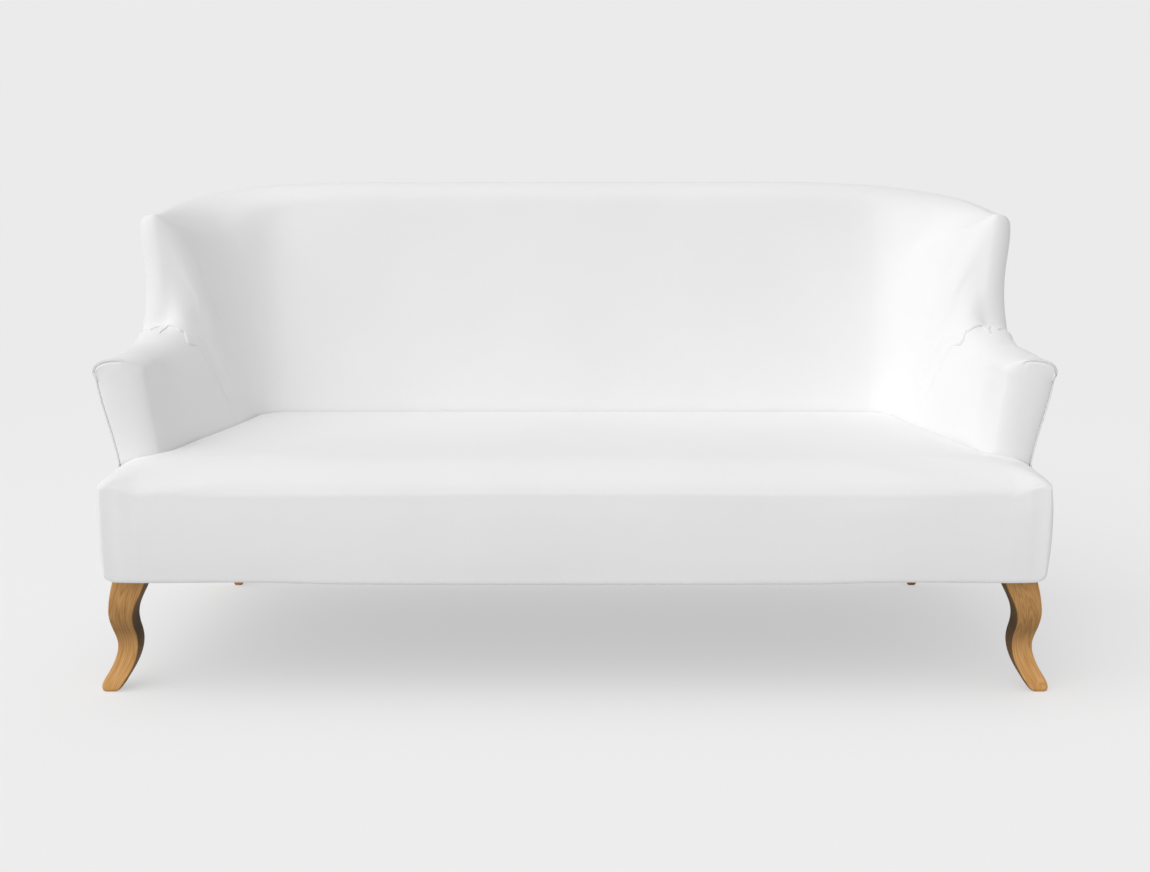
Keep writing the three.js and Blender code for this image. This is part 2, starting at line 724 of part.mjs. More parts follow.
// Ribs, rails and straps that carry the back's foam
function addBackFrame() {
  const inner = (height) => frameInner(backMiddle, height).y + clearance;
  const outer = (height) => frameOuter(backMiddle, height).y;
  const strapBack = strapThickness + clearance;
  const tackFront = inner(tackRailTop) + strapBack;
  const tackRear = tackFront + railThickness;
  const railHalf = outerRibPlace + ribThickness / 2;
  const tack = box(-railHalf, railHalf, tackFront, tackRear, tackRailBottom, tackRailTop);
  add('back_tack_rail', tack, pine);
  const topFront = inner(topRailTop) + strapBack;
  const top = box(-railHalf, railHalf, topFront, outer(topRailBottom), topRailBottom, topRailTop);
  add('back_top_rail', top, pine);

  const ribTop = topRailBottom - clearance;
  const foot = railTop + clearance;
  const step = tackRailTop + clearance;
  const rib = [
    v2(baseRailFront, foot), v2(outer(foot), foot), v2(outer(ribTop), ribTop),
    v2(inner(ribTop), ribTop), v2(inner(step), step),
    v2(tackRear + clearance, step), v2(tackRear + clearance, tackRailBottom),
  ];
  const places = [-outerRibPlace, -innerRibPlace, innerRibPlace, outerRibPlace];
  places.forEach((place, i) => {
    const half = ribThickness / 2;
    add(`back_rib_${i + 1}`, uprightBoard(rib, place - half, place + half), pine);
  });

  const strap = [
    v2(inner(tackRailBottom), tackRailBottom), v2(inner(topRailTop), topRailTop),
    v2(inner(topRailTop) + strapThickness, topRailTop),
    v2(inner(tackRailBottom) + strapThickness, tackRailBottom),
  ];
  const bay = (innerRibPlace + outerRibPlace) / 2;
  [-bay, 0, bay].forEach((place, i) => {
    const half = strapWidth / 2;
    add(`back_strap_${i + 1}`, uprightBoard(strap, place - half, place + half), elastic);
  });

  const times = [1, ...cornerTimes];
  const cornerInner = times.map((time) => frameInner(time, cornerRailTop).add(v2(clearance, clearance)));
  const cornerOuter = times.map((time) => frameOuter(time, cornerRailBottom));
  const startY = sideEndY + clearance;
  const endX = railHalf + clearance;
  const innerEnd = v2(endX, inner(cornerRailTop) + strapBack);
  const outerEnd = v2(endX, cornerOuter[times.length - 1].y);
  const front = cornerInner.filter((p) => p.y > startY);
  const corner = planBoard([
    v2(cornerInner[0].x + wingPad / 2, startY), v2(cornerOuter[0].x, startY), ...cornerOuter.slice(1),
    outerEnd, innerEnd, ...front.reverse(),
  ], cornerRailBottom, cornerRailTop);
  addPair('corner_rail', corner, pine);
}

// One zigzag spring from the front rail to the rear rail, clipped down at both ends
function addSprings() {
  const wireZ = railTop + clearance + springWire / Math.SQRT2;
  const start = frontRailRear - clipLength / 2;
  const end = seatRailFront + clipLength / 2;
  const half = springWire / 2;
  const section = new THREE.Shape([v2(half, half), v2(-half, half), v2(-half, -half), v2(half, -half)]);
  const turns = springHalfWaves * springStepsPerHalfWave;
  for (let spring = 0; spring < springCount; spring += 1) {
    const x = (spring - (springCount - 1) / 2) * springSpacing;
    const points = [];
    for (let step = 0; step <= turns; step += 1) {
      const share = step / turns;
      const swing = Math.sin(Math.PI * springHalfWaves * share) * (springWidth / 2);
      const lift = springLift * ease(Math.min(step, turns - step));
      const rise = Math.sin(Math.PI * share) * springArch + lift;
      points.push(v3(x + swing, lerp(start, end, share), wireZ + rise));
    }
    const path = new THREE.CatmullRomCurve3(points);
    const wire = new THREE.ExtrudeGeometry(section, { steps: turns, extrudePath: path, bevelEnabled: false });
    const clips = [start, end].map((y) => box(
      x - clipWidth / 2, x + clipWidth / 2, y - clipLength / 2, y + clipLength / 2,
      railTop + clearance, railTop + clearance + clipThickness,
    ));
    add(`seat_spring_${spring + 1}`, solidOf(wire).add(clips[0]).add(clips[1]), steel);
  }
}

// A closed ring of a leg: a square with round corners
function legRing(x, y, z, width, depth) {
  const ring = [];
  const corners = [[1, 1], [-1, 1], [-1, -1], [1, -1]];
  const round = Math.min(width, depth) * legRoundShare;
  corners.forEach(([sx, sy], corner) => {
    const cx = sx * (width / 2 - round);
    const cy = sy * (depth / 2 - round);
    for (const share of legCornerShares) {
      const angle = (corner + share) * (Math.PI / 2);
      ring.push(v3(x + cx + round * Math.cos(angle), y + cy + round * Math.sin(angle), z));
    }
  });
  return ring;
}

// The cabriole leg: its knee and toe swing out on the diagonal, its ankle draws in
function frontLeg() {
  const line = new THREE.CatmullRomCurve3(legStationShares.map((s) => v3(
    legToeOut * s.out, legToeForward * s.forward, legHeight * s.height,
  )));
  const girth = new THREE.CatmullRomCurve3(legStationShares.map((s) => v3(
    legTopWidth * s.width, legTopDepth * s.depth, legHeight * s.height,
  )));
  const rings = [];
  for (let ring = 0; ring <= legRings; ring += 1) {
    const centre = line.getPoint(ring / legRings);
    const size = girth.getPoint(ring / legRings);
    const y = frontY + frontLegSetback - centre.y;
    rings.push(legRing(frontLegHalf + centre.x, y, centre.z, size.x, size.y));
  }
  return solidOf(loft(rings));
}

function rearLeg() {
  const y = rearBaseY - rearLegInset;
  return solidOf(loft([
    legRing(rearLegHalf, y, legHeight, rearLegTop, rearLegTop),
    legRing(rearLegHalf + rearToeOut, y + rearToeBack, 0, rearLegToe, rearLegToe),
  ]));
}

// Each leg hangs on a bolt that runs through the dust cover into a corner block
function addLegs() {
  const places = [
    {
      name: 'front', leg: frontLeg(), block: frontCornerBlock(),
      x: sideRailInner - cornerBlockLength / 8, y: frontRailRear + cornerBlockLength / 4,
    },
    { name: 'rear', leg: rearLeg(), block: rearCornerBlock(), x: rearLegHalf, y: rearBaseY - rearLegInset },
  ];
  const low = legHeight - boltInLeg;
  const high = railBottom + boltInBlock;
  const outline = [v2(baseHalfWidth - dustCoverInset, frontY + dustCoverInset)];
  for (const time of [1, ...cornerTimes]) outline.push(outside(time, legHeight, dustCoverInset));
  const mirror = [...outline].reverse().map((point) => v2(-point.x, point.y));
  const top = borderBottom + dustCoverThickness;
  let cover = planBoard([...outline, ...mirror], borderBottom, top);
  for (const { name, leg, block, x, y } of places) {
    const hole = rod(boltDiameter + 2 * boltPlay, x, y, low - boltPlay, high + boltPlay);
    const slot = rod(dustCoverBoltHole, x, y, borderBottom - overrun, top + overrun);
    cover = cover.subtract(slot).subtract(mirrored(slot));
    addPair(`${name}_leg`, leg.subtract(hole), oak);
    addPair(`${name}_corner_block`, block.subtract(hole), pine);
    addPair(`${name}_leg_bolt`, rod(boltDiameter, x, y, low, high), steel);
  }
  add('dust_cover', cover, cambric);
}

addSeat();
addHorseshoe();
addPanels();
addSeatFrame();
addArmFrame();
addBackFrame();
addSprings();
addLegs();

export default sofa;
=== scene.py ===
"""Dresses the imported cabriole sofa: covers with rolled edges and seams, foam, cloth, oak legs and a studio.

Metres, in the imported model's frame. Grids of points are arrays of [column, row, xyz]. A time is a place
along the horseshoe of arms and back: 0 to 1 along the arm, 1 to 2 round the rear corner, 2 to 3 on to the
middle of the back.
"""

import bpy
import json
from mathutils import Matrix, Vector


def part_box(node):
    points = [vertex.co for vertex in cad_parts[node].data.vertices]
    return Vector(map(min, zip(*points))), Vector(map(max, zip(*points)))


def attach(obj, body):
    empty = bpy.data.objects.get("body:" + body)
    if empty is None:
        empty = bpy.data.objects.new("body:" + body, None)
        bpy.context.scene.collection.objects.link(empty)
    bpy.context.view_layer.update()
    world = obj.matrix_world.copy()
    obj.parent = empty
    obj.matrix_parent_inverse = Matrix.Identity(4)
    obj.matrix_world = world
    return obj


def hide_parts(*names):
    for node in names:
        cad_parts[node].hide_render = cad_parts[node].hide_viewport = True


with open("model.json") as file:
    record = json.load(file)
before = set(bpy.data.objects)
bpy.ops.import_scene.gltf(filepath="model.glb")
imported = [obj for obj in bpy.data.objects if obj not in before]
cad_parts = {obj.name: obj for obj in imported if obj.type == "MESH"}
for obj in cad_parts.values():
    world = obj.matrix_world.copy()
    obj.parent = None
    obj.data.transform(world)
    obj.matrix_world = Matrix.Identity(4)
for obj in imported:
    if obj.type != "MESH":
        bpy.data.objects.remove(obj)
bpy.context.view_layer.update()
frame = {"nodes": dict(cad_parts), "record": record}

import functools
import json
import math

import bmesh
import bpy
import numpy as np
from mathutils import Vector, noise
from mathutils.bvhtree import BVHTree

# Sizes of the CAD model
FRONT = -0.430
ARM_FRONT = -0.306
SIDE_END = 0.120
REAR_BASE = 0.350
INSIDE_BACK = 0.141
LEG_TOP = 0.240
BORDER_BOTTOM = 0.2403
RAIL_TOP = 0.3416
SEAT_HEIGHT = 0.470
DECK_TOP = 0.465
ARM_HEIGHT = 0.662
WING_HEIGHT = 0.924
SOFA_HEIGHT = 0.980
ARM_ROLL, WING_ROLL, BACK_ROLL = 0.030, 0.034, 0.048
BACK_ROLL_START = 0.932
BASE_HALF = 0.921
REAR_CORNER_HALF = 0.760
PANEL_SEAM_HALF = 0.790
DECK_FRONT_HALF = 0.860
DECK_BOW = (0.765, -0.112)
DECK_REAR_HALF = 0.718
DECK_CORNER_HALF = 0.660
DECK_SIDE_END = 0.090
ROLL_POWER = 0.8
COVER = 0.0035

# Times at which the wing starts to rise, reaches its height, and the back is highest
WING_FOOT = 0.745
WING_HEAD = 0.87
BACK_TOP = 2.34
# Metres along the arm for each unit of time
OUTSIDE_SPEED, INSIDE_SPEED = 0.426, 0.388

# Fitted to the photograph
SEAT_HALF = 0.928
WING_SWEEP = 0.022
WING_SWEEP_START = 0.50


def ease(value):
    share = np.clip(value, 0.0, 1.0)
    return share * share * (3 - 2 * share)


def lerp(a, b, share):
    return a + (b - a) * share


def unit(vector):
    return vector / np.linalg.norm(vector, axis=-1, keepdims=True)


# Plan of the horseshoe

def bezier(points, share):
    """A point and its direction away from the seat on a plan curve."""
    n = len(points) - 1
    terms = [math.comb(n, k) * (1 - share) ** (n - k) * share ** k for k in range(n + 1)]
    point = sum(term * p for term, p in zip(terms, points))
    steps = [n * (b - a) for a, b in zip(points, points[1:])]
    terms = [math.comb(n - 1, k) * (1 - share) ** (n - 1 - k) * share ** k for k in range(n)]
    along = unit(sum(term * p for term, p in zip(terms, steps)))
    return point, np.array([along[1], -along[0]])


deck_end = np.array([DECK_REAR_HALF, DECK_SIDE_END])
deck_lead = unit(deck_end - np.array(DECK_BOW))
CORNER_HANDLE = 0.028
INSIDE_CURVES = [np.array(points) for points in (
    [(DECK_FRONT_HALF, ARM_FRONT), DECK_BOW, deck_end],
    [deck_end, deck_end + CORNER_HANDLE * deck_lead,
     (DECK_CORNER_HALF + CORNER_HANDLE, INSIDE_BACK), (DECK_CORNER_HALF, INSIDE_BACK)],
    [(DECK_CORNER_HALF, INSIDE_BACK), (0, INSIDE_BACK)],
)]
OUTSIDE_CURVES = [np.array(points) for points in (
    [(BASE_HALF, ARM_FRONT), (BASE_HALF, SIDE_END)],
    [(BASE_HALF, SIDE_END), (BASE_HALF, SIDE_END + 0.190),
     (REAR_CORNER_HALF + 0.140, REAR_BASE), (REAR_CORNER_HALF, REAR_BASE)],
    [(REAR_CORNER_HALF, REAR_BASE), (0, REAR_BASE)],
)]


def on_plan(curves, time):
    piece = min(len(curves) - 1, max(0, int(time)))
    return bezier(curves[piece], time - piece)


def top_height(time):
    wing = ease((time - WING_FOOT) / (WING_HEAD - WING_FOOT))
    back = ease((time - WING_HEAD) / (BACK_TOP - WING_HEAD))
    sweep = WING_SWEEP * ease((time - WING_SWEEP_START) / (WING_FOOT - WING_SWEEP_START)) * (1 - wing)
    return lerp(ARM_HEIGHT, WING_HEIGHT, wing) + sweep + (SOFA_HEIGHT - WING_HEIGHT) * back


def roll_height(time):
    wing = lerp(ARM_ROLL, WING_ROLL, ease((time - WING_FOOT) / (WING_HEAD - WING_FOOT)))
    return lerp(wing, BACK_ROLL, ease(time - 1))


ARM_FLARE, WING_FLARE, BACK_FLARE = 0.012, 0.138, 0.160
# How far in the arm's foot comes, and up to what height above the deck
ARM_FOOT, FOOT_HEIGHT = 0.016, 0.16


def inside(time, height, inset=0.0):
    point, away = on_plan(INSIDE_CURVES, time)
    direction = unit(lerp(np.array([1.0, 0.0]), away, ease(time)))
    above = height - DECK_TOP
    rise = np.clip(above / (BACK_ROLL_START - DECK_TOP), 0, 1)
    flare = lerp(ARM_FLARE, lerp(BACK_FLARE, WING_FLARE, ease((1.6 - time) / 0.8)), ease(time / 0.45))
    foot = ARM_FOOT * (1 - ease(time / 0.5)) * (1 - np.clip(above / FOOT_HEIGHT, 0, 1))
    return point + direction * (flare * rise ** 0.75 + inset - foot)


ARM_LEAN, BACK_LEAN = 0.037, 0.080
LEAN_START = 0.446
WING_WAIST = lerp(ARM_HEIGHT, WING_HEIGHT, 0.29)
# How much further out the wing leans from one height to another
WING_LEAN = [(0.034, LEAN_START, 0.646), (-0.015, 0.650, WING_WAIST),
             (0.017, WING_WAIST, WING_HEIGHT - WING_ROLL), (0.004, ARM_HEIGHT, 0.712)]


def lean(time, height):
    rise = np.clip((height - LEAN_START) / (ARM_HEIGHT - ARM_ROLL - LEAN_START), 0, 1)
    arm = ARM_LEAN * lerp(ease(rise), rise ** 0.8, 0.4)
    wing = sum(step * ease((height - low) / (high - low)) for step, low, high in WING_LEAN)
    back = BACK_LEAN * (height - LEG_TOP) / (BACK_ROLL_START - LEG_TOP)
    return lerp(lerp(arm, wing, ease(time / WING_FOOT)), back, ease(time - 1))


def outside(time, height, inset=0.0):
    point, away = on_plan(OUTSIDE_CURVES, time)
    return point + away * (lean(time, height) - inset)


# Meshes

def mesh_object(name, vertices, faces):
    mesh = bpy.data.meshes.new(name)
    mesh.from_pydata([tuple(v) for v in vertices], [], [tuple(f) for f in faces])
    mesh.validate()
    obj = bpy.data.objects.new(name, mesh)
    bpy.context.scene.collection.objects.link(obj)
    return obj


def grid_faces(columns, rows, start=0):
    corners = [start + c * rows + r for c in range(columns - 1) for r in range(rows - 1)]
    return [(a, a + rows, a + rows + 1, a + 1) for a in corners]


def from_ends(count):
    """How many steps each place in a row of them is from the nearer end."""
    return np.minimum(np.arange(count), np.arange(count)[::-1])


WELD = 2e-5


def grids_object(name, grids):
    """One mesh from grids whose shared edges are welded."""
    vertices, faces = [], []
    for grid in grids:
        faces += grid_faces(grid.shape[0], grid.shape[1], len(vertices))
        vertices += list(grid.reshape(-1, 3))
    obj = mesh_object(name, vertices, faces)
    edit(obj, lambda bm: bmesh.ops.remove_doubles(bm, verts=bm.verts, dist=WELD))
    return obj


def edit(obj, work):
    bm = bmesh.new()
    bm.from_mesh(obj.data)
    work(bm)
    bm.to_mesh(obj.data)
    bm.free()
    obj.data.update()


def apply_modifiers(obj):
    graph = bpy.context.evaluated_depsgraph_get()
    mesh = bpy.data.meshes.new_from_object(obj.evaluated_get(graph))
    old = obj.data
    obj.modifiers.clear()
    obj.data = mesh
    mesh.name = obj.name
    bpy.data.meshes.remove(old)


def face_toward(obj, towards):
    """Turns an open sheet's faces so that most look along the given direction from its middle."""
    def work(bm):
        bmesh.ops.recalc_face_normals(bm, faces=bm.faces)
        total = sum(f.normal.dot(towards(f.calc_center_median())) * f.calc_area() for f in bm.faces)
        if total < 0:
            bmesh.ops.reverse_faces(bm, faces=bm.faces)
    edit(obj, work)


def smooth_faces(obj):
    for polygon in obj.data.polygons:
        polygon.use_smooth = True


def thicken(obj, thickness, levels):
    """Gives an open sheet its thickness on the inside, closed round its edges, and smooths it."""
    if levels:
        smooth = obj.modifiers.new("Smooth", "SUBSURF")
        smooth.levels = smooth.render_levels = levels
        smooth.boundary_smooth = "PRESERVE_CORNERS"
    solid = obj.modifiers.new("Thickness", "SOLIDIFY")
    solid.thickness = thickness
    solid.offset = -1
    apply_modifiers(obj)
    smooth_faces(obj)


def place(obj, slot, *nodes, finish=None):
    obj.data.materials.clear()
    obj.data.materials.append(finish or FINISHES[slot])
    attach(obj, "root")
    if nodes:
        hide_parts(*nodes)
    return obj


surfaces = {}


def keep_surface(obj):
    """Keeps a piece's faces as they are now, so that foam can be kept under them."""
    bm = bmesh.new()
    bm.from_mesh(obj.data)
    surfaces[obj.name] = BVHTree.FromBMesh(bm)
    bm.free()


def dress(name, grids, towards, thickness, slot, *nodes, levels=0, finish=None):
    """Makes a cloth piece of open grids, which faces the given way and grows inwards by its thickness."""
    obj = grids_object(name, grids)
    face_toward(obj, towards)
    keep_surface(obj)
    thicken(obj, thickness, levels)
    return place(obj, slot, *nodes, finish=finish)


def mirrored(grid):
    """The same grid on the other side of the sofa, with its columns turned round."""
    flipped = grid[::-1].copy()
    flipped[..., 0] *= -1
    return flipped


# Cloth

# A run covers every second point of a grid, and pulls it out by no more than the cushion
CLOTH_STEP = 2
CLOTH_FRAMES = 20
CUSHION = 0.0045
CLOTH_SETTINGS = {"quality": 6, "mass": 0.3, "tension_stiffness": 25, "compression_stiffness": 25,
                  "shear_stiffness": 10, "bending_stiffness": 2, "use_pressure": True,
                  "vertex_group_mass": "hold", "pin_stiffness": 1}


def cloth_places(count):
    return np.unique(np.append(np.arange(0, count, CLOTH_STEP), count - 1))


def spread(values, places, count, axis):
    """Values known at some places along an axis, filled in for all of them."""
    return np.apply_along_axis(lambda line: np.interp(np.arange(count), places, line), axis, values)


def inflate(grid, pinned, pressure):
    """Runs cloth over a grid, held where pinned, and gives the grid's displacement."""
    columns, rows = cloth_places(grid.shape[0]), cloth_places(grid.shape[1])
    coarse = grid[np.ix_(columns, rows)]
    obj = mesh_object("cloth_run", coarse.reshape(-1, 3), grid_faces(len(columns), len(rows)))
    group = obj.vertex_groups.new(name="hold")
    for i, weight in enumerate(pinned[np.ix_(columns, rows)].ravel()):
        group.add([i], float(weight), "REPLACE")
    cloth = obj.modifiers.new("Cloth", "CLOTH")
    for key, value in CLOTH_SETTINGS.items():
        setattr(cloth.settings, key, value)
    cloth.settings.uniform_pressure_force = pressure
    cloth.settings.effector_weights.gravity = 0
    cloth.collision_settings.use_collision = False
    cloth.point_cache.frame_start, cloth.point_cache.frame_end = 1, CLOTH_FRAMES
    scene = bpy.context.scene
    for step in range(1, CLOTH_FRAMES + 1):
        scene.frame_set(step)
    graph = bpy.context.evaluated_depsgraph_get()
    moved = np.array([v.co for v in obj.evaluated_get(graph).data.vertices]).reshape(coarse.shape)
    bpy.data.objects.remove(obj)
    scene.frame_set(1)
    move = moved - coarse
    length = np.linalg.norm(move, axis=2, keepdims=True)
    move *= CUSHION * np.tanh(length / CUSHION) / np.maximum(length, 1e-9)
    return spread(spread(move, columns, grid.shape[0], 0), rows, grid.shape[1], 1)


def relax(grid, held, rounds):
    """Evens a grid out, apart from where it is held."""
    free = (1 - held)[..., None]
    for _ in range(rounds):
        mean = grid.copy()
        mean[1:-1, 1:-1] = (grid[:-2, 1:-1] + grid[2:, 1:-1] + grid[1:-1, :-2] + grid[1:-1, 2:]) / 4
        grid = grid + 0.5 * free * (mean - grid)
    return grid


# Arms and back
ROLL_ROWS = 34
INSIDE_ROWS = 46
TUCK_ROWS = 8
FACING_COLUMNS = 12
roll_angles = np.linspace(0, math.pi, ROLL_ROWS)
inside_shares = 1 - np.linspace(0, 1, INSIDE_ROWS + 1)[1:] ** 0.9
tuck_depths = np.array([0.004, 0.010, 0.018, 0.030, 0.050, 0.080, 0.105, DECK_TOP - RAIL_TOP])
# Depths below the roll's edge and insets of the rows that are sewn in behind the outside panels
HEM = ((0.014, 0.0045), (0.002, 0.0035))
ROLL_START = len(HEM)
ROLL_END = ROLL_START + ROLL_ROWS
INSIDE_END = ROLL_END + INSIDE_ROWS
ROWS = INSIDE_END + TUCK_ROWS
row_inner = np.clip((np.arange(ROWS) - ROLL_START) / (ROLL_ROWS - 1), 0, 1)

# The seam at the wing's foot bows back on the inside: how far, from the roll down to the deck
SEAM_TOP, SEAM_MIDDLE, SEAM_DECK = 0.055, 0.150, 0.035


def seam_bow():
    down = np.clip((np.arange(ROWS) - ROLL_END) / INSIDE_ROWS, 0, 1)
    upper = lerp(SEAM_TOP, SEAM_MIDDLE, ease(down / 0.4))
    return np.where(down > 0, lerp(upper, SEAM_DECK, ease((down - 0.4) / 0.6)), SEAM_TOP * ease(row_inner))


row_shift = seam_bow()


def shifted(time, row):
    """The place along the horseshoe of a row's point, when its column stands at the given time."""
    bump = ease((time - 0.25) / (WING_FOOT - 0.25)) * ease((1.5 - time) / (1.5 - WING_FOOT))
    return time + row_shift[row] * bump


def roll_start(time):
    return top_height(time) - roll_height(time)


# How far the wing's outer edge lies behind the middle of its rounded front
NOSE = 0.044


def edge_height(time):
    return roll_start(time - NOSE / OUTSIDE_SPEED)


def square_to_edge(time, depth):
    """How far back and down a depth goes, square to the roll's edge, which is steep on the wing's front."""
    slope = (edge_height(time + 0.004) - edge_height(time - 0.004)) / 0.008 / OUTSIDE_SPEED
    run = math.hypot(1, slope)
    back = ease((1.2 - time) / 0.2) * depth * slope / run / OUTSIDE_SPEED
    return back, depth / (run if time < 1 else 1)


def below_edge(time, depth, inset):
    """A point on the outside at a depth below the roll's edge."""
    back, drop = square_to_edge(time, depth)
    height = edge_height(time) - drop
    return (*outside(time + back, height, inset), height)


def roll_point(time, place, angle):
    """A point of the top roll: its height comes from one time along the horseshoe, its place from another."""
    power = lerp(ROLL_POWER, 1, ease(angle / math.pi * 2 - 0.5))
    across = -np.sign(math.cos(angle)) * abs(math.cos(angle)) ** power
    late = time - NOSE / OUTSIDE_SPEED * (1 - math.sqrt(1 - min(0, across) ** 2))
    start = roll_start(late)
    height = start + roll_height(late) * abs(math.sin(angle)) ** power
    x, y = lerp(outside(place, start), inside(place, start), (across + 1) / 2)
    return x, y, height


def section(time):
    """One column over the horseshoe: from the outside's seam over the top roll and down the inside."""
    points = [below_edge(time, depth, inset) for depth, inset in HEM]
    for row in range(ROLL_START, ROWS):
        place = shifted(time, row)
        if row < ROLL_END:
            points.append(roll_point(time, place, roll_angles[row - ROLL_START]))
            continue
        if row < INSIDE_END:
            height, inset = lerp(DECK_TOP, roll_start(time), inside_shares[row - ROLL_END]), 0
        else:
            depth = tuck_depths[row - INSIDE_END]
            height, inset = DECK_TOP - depth, 0.003 * min(1, depth / 0.012)
        points.append((*inside(place, height, inset), height))
    return np.array(points)


CORNER_SHARE = 0.45
CORNER_DEPTH = 0.016
SEWN_ROUND = 0.007
FACING_TURN = 0.046
FACING_BACK = 0.011
FIRST_COLUMN = 0.055
# The facing's columns end on a spine: its height at both hem rows and the roll's end, and how far in it is
SPINE_HEIGHTS = (0.620, 0.624, 0.598)
SPINE_INSET = 0.0030
# How far behind the arm's front, and how far in from its outline, the top seam's points lie
SEWN = [(0.012, 0), (0.007, 0), (0.003, 0.0001), (0.001, 0.0006), (0.000, 0.0016), (0.0008, 0.0030),
        (0.0040, 0.0034), (0.0042, 0.0046), (0.0016, 0.0062), (0.0004, 0.0090), (-0.0002, 0.0120)]


def facing_back(from_edge):
    """How far the facing lies back at a distance from its outer edge."""
    return FACING_BACK * (1 - np.sqrt(1 - np.clip(1 - from_edge / FACING_TURN, 0, 1) ** 2))


def front_columns():
    """The arm's front: a padded facing, sewn to the top roll and turning softly into the inside."""
    crown = row_inner * 2
    seam = ease((1.6 - crown) / 0.6)
    turn = ease((crown - 0.95) / 0.8)
    base = section(0.0)
    heights = np.interp(np.arange(ROWS), [0, 1, ROLL_END], SPINE_HEIGHTS)
    low = (base[ROLL_END:, 2] - RAIL_TOP) / (base[ROLL_END, 2] - RAIL_TOP)
    heights[ROLL_END:] = lerp(RAIL_TOP, SPINE_HEIGHTS[-1], low)
    spine = np.array([(outside(0.0, h)[0] - SPINE_INSET, ARM_FRONT + FACING_BACK, h) for h in heights])
    reach = np.linalg.norm((base - spine)[:, [0, 2]], axis=1)
    width = lerp(SEWN_ROUND, CORNER_SHARE * reach, turn)
    depth = lerp(SEWN_ROUND, CORNER_DEPTH, turn)
    speed = lerp(OUTSIDE_SPEED, INSIDE_SPEED, row_inner)
    columns = []
    for k, (sewn_y, sewn_in) in enumerate(SEWN):
        angle = math.pi / 2 * k / (len(SEWN) - 1)
        y = lerp(depth * (1 - math.sin(angle)), sewn_y, seam)
        share = lerp(width * (1 - math.cos(angle)), sewn_in, seam) / np.maximum(reach, 0.022)
        column = np.array([section(max(y[row], 0) / speed[row])[row] for row in range(ROWS)])
        column = lerp(column, spine, np.clip(share, 0, 1)[:, None])
        column[:, 1] = ARM_FRONT + y + facing_back(reach) * (1 - y / (FIRST_COLUMN * OUTSIDE_SPEED))
        columns.append(column)
    share_last = np.clip(share, 0, 1)
    facing = []
    for c in range(FACING_COLUMNS):
        share = lerp(1, share_last, (c / FACING_COLUMNS) ** 1.3)
        column = lerp(base, spine, share[:, None])
        from_spine = (1 - share) * reach
        from_edge = (share - share_last) * reach
        proud = 0.003 * ease(from_spine / 0.05) * ease(from_edge / 0.05) * ease((column[:, 2] - 0.478) / 0.04)
        column[:, 1] = ARM_FRONT + lerp(y, 0, ease(from_edge / 0.006)) + facing_back(from_spine) - proud
        facing.append(column)
    return facing + columns[::-1]


ARM_TIMES = np.concatenate([np.linspace(FIRST_COLUMN, 0.70, 36), np.linspace(0.712, WING_FOOT, 4)])
WING_TIMES = np.concatenate([np.linspace(WING_FOOT, 0.97, 62), np.linspace(0.978, 1.0, 4)])
CORNER_TIMES = np.linspace(1, 2, 36)[1:]
BACK_TIMES = np.linspace(2, 3, 72)[1:]

# The lip's teeth: where they stand across the arm's top, from the outside in, and how far they reach
TEETH = [(0.30, 0.0), (0.364, 1.0), (0.42, 0.0), (0.485, 1.7), (0.545, 0.0), (0.70, 0.1), (0.80, 0.3),
         (0.86, 0.0), (0.95, 0.9), (1.0, 1.0)]
TOOTH_COLUMNS = 4.0
LIP_COLUMNS = 14
FRONT_COLUMNS = FACING_COLUMNS + len(SEWN)
SEAM = FRONT_COLUMNS + len(ARM_TIMES) - 1


def tooth_reach():
    reach = np.interp(row_inner, *zip(*TEETH), left=0, right=0)
    reach[ROLL_END:] = np.interp(np.arange(ROWS - ROLL_END), [0, 3, 6], [1, 0.4, 0])
    return reach


def normals(grid):
    across = np.gradient(grid, axis=0)
    down = np.gradient(grid, axis=1)
    return unit(np.cross(across, down) + 1e-12)


def soft_waves(points, size, depth, seed):
    """Small smooth unevenness, the same each run."""
    flat = points.reshape(-1, 3)
    shift = Vector((seed * 7.3, seed * 3.1, seed * 5.7))
    values = [noise.noise(Vector(p) / size + shift) for p in flat]
    return depth * np.array(values).reshape(points.shape[:-1])


def outward_of(grid, inner_point):
    """+1 or -1, so that normals(grid) times it look towards the inner point."""
    middle = grid[grid.shape[0] // 2, grid.shape[1] * 2 // 3]
    normal = normals(grid)[grid.shape[0] // 2, grid.shape[1] * 2 // 3]
    return np.sign(normal @ (np.array(inner_point) - middle))


def soften(grid, fade_columns, size, depth, seed, inner_point):
    """Makes a panel a little uneven, less so towards its edges."""
    loose = np.outer(ease(from_ends(grid.shape[0]) / fade_columns), ease(from_ends(grid.shape[1]) / 9))
    waves = soft_waves(grid, size, depth, seed)
    grid += normals(grid) * (waves * loose * -outward_of(grid, inner_point))[..., None]


SITTER = (0.0, -0.2, 0.7)
SHOULDER_ROUNDS = 900


